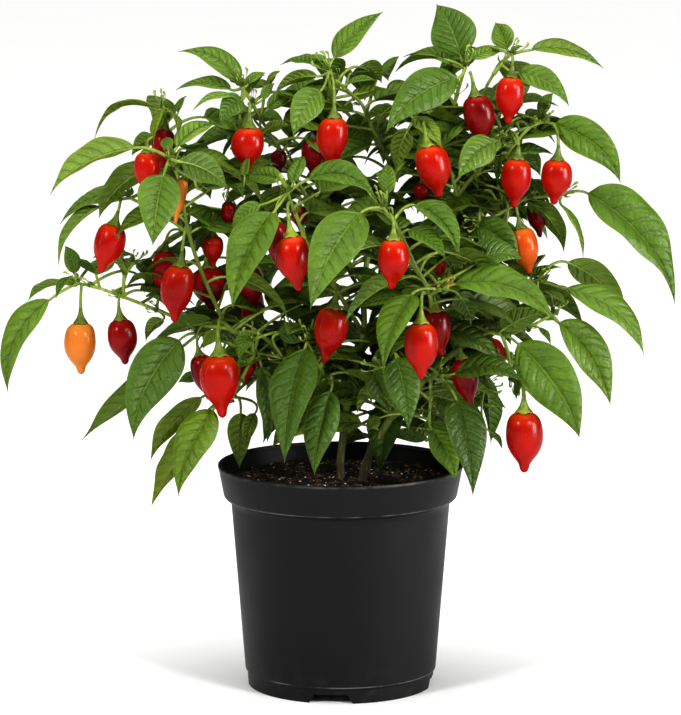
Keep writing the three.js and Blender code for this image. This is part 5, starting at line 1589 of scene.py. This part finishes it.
# %% Fruit rows
# Each is [name, stalk's start u, v, near, berry's top u, v, tip u, v, width, near, finish].
FRUITS = [
    ("fruit_left_top", -106, 352, 22, -106, 342, -108, 318, 14, 26, "dark"),
    ("fruit_left_front", -113, 337, 46, -117, 328, -118, 303, 16, 46, "red"),
    ("fruit_left_mid", -133, 299, 10, -137, 284, -146, 254, 19, 14, "red"),
    ("fruit_left_tip", -157, 248, 8, -158, 224, -158, 192, 19.5, 12, "orange"),
    ("fruit_left_branch", -134, 241, 14, -134, 226, -131, 198, 18, 18, "dark"),
    ("fruit_left_hang", -94, 282, 24, -97, 259, -101, 224, 20, 32, "red"),
    ("fruit_left_inner", -82, 262, 8, -80, 258, -78, 231, 21, 0, "dark"),
    ("fruit_front_left", -72, 228, 22, -74, 204, -72, 165, 24, 37, "red"),
    ("fruit_left_low", -84, 222, 20, -86, 204, -80, 176, 15, 21, "dark"),
    ("fruit_top_left", -55, 357, 10, -55, 343, -56, 317, 20, 24, "red"),
    ("fruit_top_centre", -5, 373, 18, -4, 349, -5, 316, 19, 30, "red"),
    ("fruit_centre_back", -36, 300, 69, -39, 286, -38, 256, 14, 72, "dark"),
    ("fruit_centre_front", -31, 297, 72, -30, 277, -25, 243, 21, 88, "red"),
    ("fruit_centre_low", -1, 246, 34, -4, 233, -10, 199, 20.5, 43, "red"),
    ("fruit_crown", 78, 376, 12, 81, 362, 86, 332, 19, 18, "dark"),
    ("fruit_inner_right", 50, 346, 30, 53, 332, 60, 300, 21, 40, "red"),
    ("fruit_front", 30, 290, 81, 32, 275, 31, 244, 19, 88, "red"),
    ("fruit_front_right", 51, 242, 75, 49, 224, 49, 189, 21, 94, "red"),
    ("fruit_right_inner", 57, 241, 59, 58, 231, 62, 203, 17, 56, "dark"),
    ("fruit_right_low_inner", 78, 214, 37, 74, 202, 80, 171, 16, 43, "dark"),
    ("fruit_right_low_back", 86, 222, 28, 90, 213, 98, 191, 16, 12, "red"),
    ("fruit_right_low", 106, 196, 37, 112, 169, 112.5, 131, 23, 59, "red"),
    ("fruit_right_mid", 106, 296, 2, 109, 282, 115, 254, 17.5, 18, "orange_red"),
    ("fruit_right_top", 103, 340, 12, 107, 324, 105, 294, 18.5, 24, "red"),
    ("fruit_right_end", 128, 345, 14, 131, 323.5, 129, 296, 19, 20, "red"),
    ("fruit_top_right", 103, 387, 8, 103, 373.5, 101, 344.5, 17.5, 16, "red"),
    ("fruit_back_left", -62, 262, -68, -56, 246, -55, 214, 19, -92, "red"),
    ("fruit_back_centre", -12, 300, -66, -4, 286, -3, 254, 20, -92, "red"),
    ("fruit_back_right", 80, 280, -72, 72, 264, 71, 233, 19, -94, "red"),
    ("fruit_back_low", -26, 209, -70, -16, 196, -15, 166, 18, -96, "orange"),
    ("fruit_back_low_right", 53, 204, -76, 46, 190, 44, 160, 19, -100, "red"),
    ("young_fruit_left_high", -98, 322, 40, -95, 312, -100, 284, 9, 30, "orange"),
    ("young_fruit_left_deep", -95, 280, 14, -106, 268, -108, 238, 16, 5, "dark"),
    ("young_fruit_left_low", -64, 216, 16, -57, 203, -57, 186, 12, 8, "red"),
    ("young_fruit_top_left", -37, 334, -8, -37, 329, -37, 315, 10, -8, "dark"),
    ("young_fruit_top_inner", -20, 344, -8, -17, 336, -17, 313, 14, -8, "dark"),
    ("young_fruit_centre_high", -24, 300, 46, -25, 295, -25, 282, 10, 40, "dark"),
    ("young_fruit_centre_deep", -62, 268, 0, -56, 258, -52, 231, 16, -4, "dark"),
    ("young_fruit_left_inner", -77, 291, 8, -77, 277, -77, 258, 13, 4, "red"),
    ("young_fruit_left_upper", -68, 308, 12, -68, 298, -68, 281, 9, 6, "dark"),
    ("young_fruit_low_inner", -50, 216, 4, -50, 210, -50, 196, 10, -4, "dark"),
    ("young_fruit_inner_high", 49, 315, -8, 49, 309, 49, 298, 10, -8, "dark"),
    ("young_fruit_front_high", 58, 268, 50, 60, 262, 61, 252, 8, 46, "red"),
    ("young_fruit_behind", 55, 240, 46, 58, 233, 54, 205, 19, 40, "dark"),
    ("young_fruit_right_back", 114, 300, -16, 119, 300, 121, 276, 13, -20, "dark"),
    ("young_fruit_right_bud", 101, 296, 14, 100, 282, 98, 272, 6, 18, "orange_red"),
    ("young_fruit_front_bud", 64, 256, 58, 66, 253, 66, 244, 6, 54, "orange_red"),
    ("young_fruit_front_deep", 55, 256, 48, 56, 250, 55, 240, 6, 44, "dark"),
]
BERRY_OUTLINE = [
    (0, 0), (0.004, 0.24), (0.015, 0.42), (0.04, 0.61), (0.08, 0.76), (0.13, 0.865), (0.2, 0.94), (0.27, 0.98),
    (0.35, 1), (0.43, 0.995), (0.5, 0.96), (0.56, 0.905), (0.62, 0.825), (0.68, 0.715), (0.73, 0.595),
    (0.78, 0.46), (0.82, 0.355), (0.86, 0.29), (0.9, 0.26), (0.94, 0.235), (0.97, 0.185), (0.988, 0.115),
    (1, 0),
]
BERRY_STEPS = 34
BERRY_SIDES = 32
CALYX_OUTLINE = [(-9, 1.0), (-7, 1.25), (-5, 1.7), (-3.2, 2.35), (-1.7, 3.2), (-0.5, 4.15), (0.5, 4.9)]
CALYX_SIDES = 30
TEETH = 5
PEDICEL_GIRTH = 0.95
CUP_FITS_HALF = 10
CUP_SMALLEST = 0.45
FRUIT_SEED = 500
CUP_DIM_NEAR = 5
CUP_BRIGHT_NEAR = 60  # cups brighten from the one nearness to the other, because less leaf shades them


def round_axes(down):
    """Two directions across a line, for turning an outline about it."""
    side = across(down)[0]
    return side, np.cross(down, side)


def lathe_into(bag, outline, centre, axes, sides, shape):
    """Adds a closed turned skin to a bag. shape moves each (turn, place, radius) to (place, radius)."""
    first = bag.count
    turns = np.linspace(0, 2 * math.pi, sides + 1)[:-1]
    for i, (place, radius) in enumerate(outline[1:-1]):
        places, radii = shape(turns, np.full(sides, place), np.full(sides, radius))
        middle = np.array([centre(p) for p in places])
        ways = np.cos(turns)[:, None] * axes[0] + np.sin(turns)[:, None] * axes[1]
        bag.add(middle + radii[:, None] * ways, (0.5, (i + 1) / (len(outline) - 1)), (0.5, 0, 0.5), 0.0, 0.0)
    rings = len(outline) - 2
    ends = np.array([centre(outline[0][0]), centre(outline[-1][0])])
    start = bag.add(ends[:1], (0.5, 0), (0.5, 0, 0.5), 0.0, 0.0)
    stop = bag.add(ends[1:], (0.5, 1), (0.5, 0, 0.5), 0.0, 0.0)
    for k in range(sides):
        after = (k + 1) % sides
        bag.faces.append((start, first + k, first + after))
        low = first + (rings - 1) * sides
        bag.faces.append((stop, low + after, low + k))
        for i in range(rings - 1):
            low, high = first + i * sides, first + (i + 1) * sides
            bag.faces.append((low + k, high + k, high + after, low + after))
    bag.slots = [0] * len(bag.faces)


def make_berry(name, top, tip, half, chance):
    """One berry's mesh between its top and its tip."""
    down = tip - top
    length = np.linalg.norm(down)
    down = down / length
    axes = round_axes(down)
    lean = chance.uniform(0, 2 * math.pi)
    lean = math.cos(lean) * axes[0] + math.sin(lean) * axes[1]
    bent, lobe = chance.uniform(0.01, 0.035) * length, chance.uniform(0.01, 0.028)
    phase = chance.uniform(0, 6.28)
    plump = chance.uniform(-0.03, 0.03)
    places, shares = np.array(BERRY_OUTLINE).T
    grid = np.linspace(0, 1, BERRY_STEPS)
    eased_grid = 0.5 - 0.5 * np.cos(math.pi * grid)
    radii = np.interp(eased_grid, places + plump * np.sin(math.pi * places), shares)
    radii = np.convolve(np.pad(radii, 1, mode="edge"), [0.25, 0.5, 0.25], "valid")
    outline = list(zip(eased_grid * length, radii))
    outline[0], outline[-1] = (0.0, 0.0), (length, 0.0)

    def centre(place):
        return top + down * place + lean * bent * math.sin(math.pi * place / length)

    def shape(turns, place, radius):
        lobes = 1 + lobe * np.cos(3 * turns + phase) * np.sin(np.pi * place / length)
        return place, radius * half * lobes

    bag = Bag()
    lathe_into(bag, outline, centre, axes, BERRY_SIDES, shape)
    return bag.mesh(name)


def make_fruit_stalk(name, start, top, down, half, near, chance):
    """The cup on a berry with its stalk, as one mesh for the stalk recipe."""
    axes = round_axes(down)
    size = max(CUP_SMALLEST, half / CUP_FITS_HALF)
    phase = chance.uniform(0, 6.28)
    rim = CALYX_OUTLINE[-1]
    outline = [(CALYX_OUTLINE[0][0] * size, 0), *((p * size, r * size) for p, r in CALYX_OUTLINE)]
    outline += [((rim[0] - 0.45) * size, (rim[1] - 0.35) * size), ((rim[0] - 0.9) * size, 0)]

    def shape(turns, place, radius):
        near_rim = np.clip((place / size + 1.6) / 2.3, 0, 1) ** 2
        teeth = np.cos(TEETH * turns + phase)
        return place + near_rim * size * (0.55 * teeth), radius * (1 + 0.05 * near_rim * teeth)

    bag = Bag()
    tone = np.clip((near - CUP_DIM_NEAR) / (CUP_BRIGHT_NEAR - CUP_DIM_NEAR), 0, 1) * 0.8
    tone += chance.uniform(0, 0.25)
    lathe_into(bag, outline, lambda place: top + down * place, axes, CALYX_SIDES, shape)
    bag.look = [np.broadcast_to((tone, 0, 0.5), look.shape) for look in bag.look]
    end = top + down * CALYX_OUTLINE[0][0] * size * 0.6
    reach = np.linalg.norm(start - end)
    line = bow(start, end - down * 0.7 * reach, end, max(4, int(reach / 1.6)))
    shares = np.interp(np.linspace(0, 1, len(line)), [0, 0.15, 0.6, 1], [1.2, 0.92, 1, 1.25])
    bag.line(line, PEDICEL_GIRTH * max(0.6, size) * shares, (tone, 0, 0.5))
    return bag.mesh(name)


# %% [markdown]
# ### Fruit finish
#
# Ripe skin is waxy: a clear coat over deep colour. The shoulders under the cup are a touch more orange and
# lighter, partly as they ripen last and partly as painted light from above, and the tip is painted darker
# as painted shade. The colour drifts over the berry in soft clouds. The cup is green with a yellow rim, and
# is painted darker deep in the plant and lighter near the front, as painted shade and light.

# %% Fruit finishes
def berry_finish(name, deep, full, shoulder_tint_and_light, freckle):
    material, tree, output, place = new_finish(name)
    down = own_map(tree)["Y"]
    cloud = speckle(tree, place, 42.0, 2.0)
    fine = speckle(tree, place, 700.0, 2.0)
    colour = mixed(tree, spread(tree, cloud, 0.2, 0.6), deep, full)
    # Partly painted light: the shoulders under the cup are drawn lighter and more orange.
    colour = mixed(tree, spread(tree, down, 0.36, 0.08, 0.0, 0.75), colour, shoulder_tint_and_light)
    # Painted shade: the tip is drawn towards the deep colour.
    colour = mixed(tree, spread(tree, down, 0.75, 1.0, 0.0, 0.5), colour, deep)
    colour = mixed(tree, spread(tree, fine, 0.6, 0.8, 0.0, 0.12), colour, freckle)
    dents = sums(tree, "ADD", speckle(tree, place, 170.0, 1.0), sums(tree, "MULTIPLY", fine, 0.06))
    skin(tree, output, {
        "Base Color": colour, "Roughness": spread(tree, fine, 0.2, 0.8, 0.22, 0.28),
        "Specular IOR Level": 0.15, "Coat Weight": 0.03, "Coat Roughness": 0.08,
        "Normal": bumped(tree, dents, 0.25, 0.0005),
    })
    return material


BERRY_COLOURS = [
    # ripeness, finish, deep colour, full colour, shoulder colour, which is partly painted light, and freckles
    ("red", "ripe_red_skin",
     rgb(0.22, 0.001, 0.0004), rgb(0.39, 0.006, 0.0004), rgb(0.56, 0.05, 0.001), rgb(0.66, 0.1, 0.01)),
    ("dark", "deep_red_skin",
     rgb(0.11, 0.0008, 0.001), rgb(0.22, 0.0015, 0.0015), rgb(0.27, 0.005, 0.002), rgb(0.45, 0.035, 0.015)),
    ("orange", "orange_skin",
     rgb(0.48, 0.12, 0.014), rgb(0.54, 0.18, 0.026), rgb(0.6, 0.25, 0.035), rgb(0.7, 0.38, 0.09)),
    ("orange_red", "orange_red_skin",
     rgb(0.46, 0.04, 0.003), rgb(0.54, 0.1, 0.006), rgb(0.6, 0.19, 0.012), rgb(0.7, 0.3, 0.08)),
]
BERRY_FINISHES = {ripeness: berry_finish(*row) for ripeness, *row in BERRY_COLOURS}

cup_finish, tree, output, place = new_finish("fruit_cup_green")
down = own_map(tree)["Y"]
patches = speckle(tree, place, 260.0, 3.0)
tone = own_look(tree)["X"]
# Painted shade and light: cups deep in the plant take the shaded greens and near ones the lit greens, by their
# tone. The yellow rim is the cup's own colour.
shaded = mixed(tree, spread(tree, patches, 0.35, 0.65), rgb(0.03, 0.055, 0.008), rgb(0.07, 0.11, 0.013))
lit_cup_with_rim = mixed(tree, spread(tree, patches, 0.35, 0.65), rgb(0.14, 0.2, 0.015), rgb(0.26, 0.33, 0.025))
lit_cup_with_rim = mixed(tree, spread(tree, down, 0.58, 0.82, 0.0, 0.7), lit_cup_with_rim, rgb(0.52, 0.44, 0.03))
colour = mixed(tree, tone, shaded, lit_cup_with_rim)
skin(tree, output, {
    "Base Color": colour, "Roughness": 0.45, "Specular IOR Level": 0.35,
    "Normal": bumped(tree, speckle(tree, place, 800.0, 2.0), 0.3, 0.0003),
})
fruit_stalk_bark = bark_finish(
    "fruit_stalk_green", rgb(0.13, 0.2, 0.02), rgb(0.18, 0.26, 0.03), rgb(0.36, 0.42, 0.07), 0.1, 0.3
)

# %% Fruits
for seed, (name, *start, top_u, top_v, tip_u, tip_v, width, near, ripeness) in enumerate(FRUITS):
    chance = np.random.default_rng(FRUIT_SEED + seed)
    top, tip = seen((top_u, top_v, near)), seen((tip_u, tip_v, near))
    half = width / 2 * (VIEW_DISTANCE - near) / VIEW_DISTANCE
    berry = placed(name + "_berry", make_berry(name, top, tip, half, chance), BERRY_FINISHES[ripeness])
    joined_in(berry, "fruit_" + ripeness, *known(name))
    mesh = make_fruit_stalk(name, seen(start), top, unit(tip - top), half, near, chance)
    stalk = cooked(
        name + "_stalk", mesh, stalk_recipe, (cup_finish,), sides=8, knobbly=0.0002, material=fruit_stalk_bark
    )
    joined_in(stalk, "stem")
print("fruits:", len(FRUITS), "with", len(berry.data.polygons), "faces each")

# %% [markdown]
# ## Face count
#
# The faces of all the shown meshes are counted. The visual model has to stay about as large as the
# imported one.

# %% Sizes and the end
faces = sum(len(o.data.polygons) for o in bpy.data.objects if o.type == "MESH" and not o.hide_render)
print("faces in all:", faces)
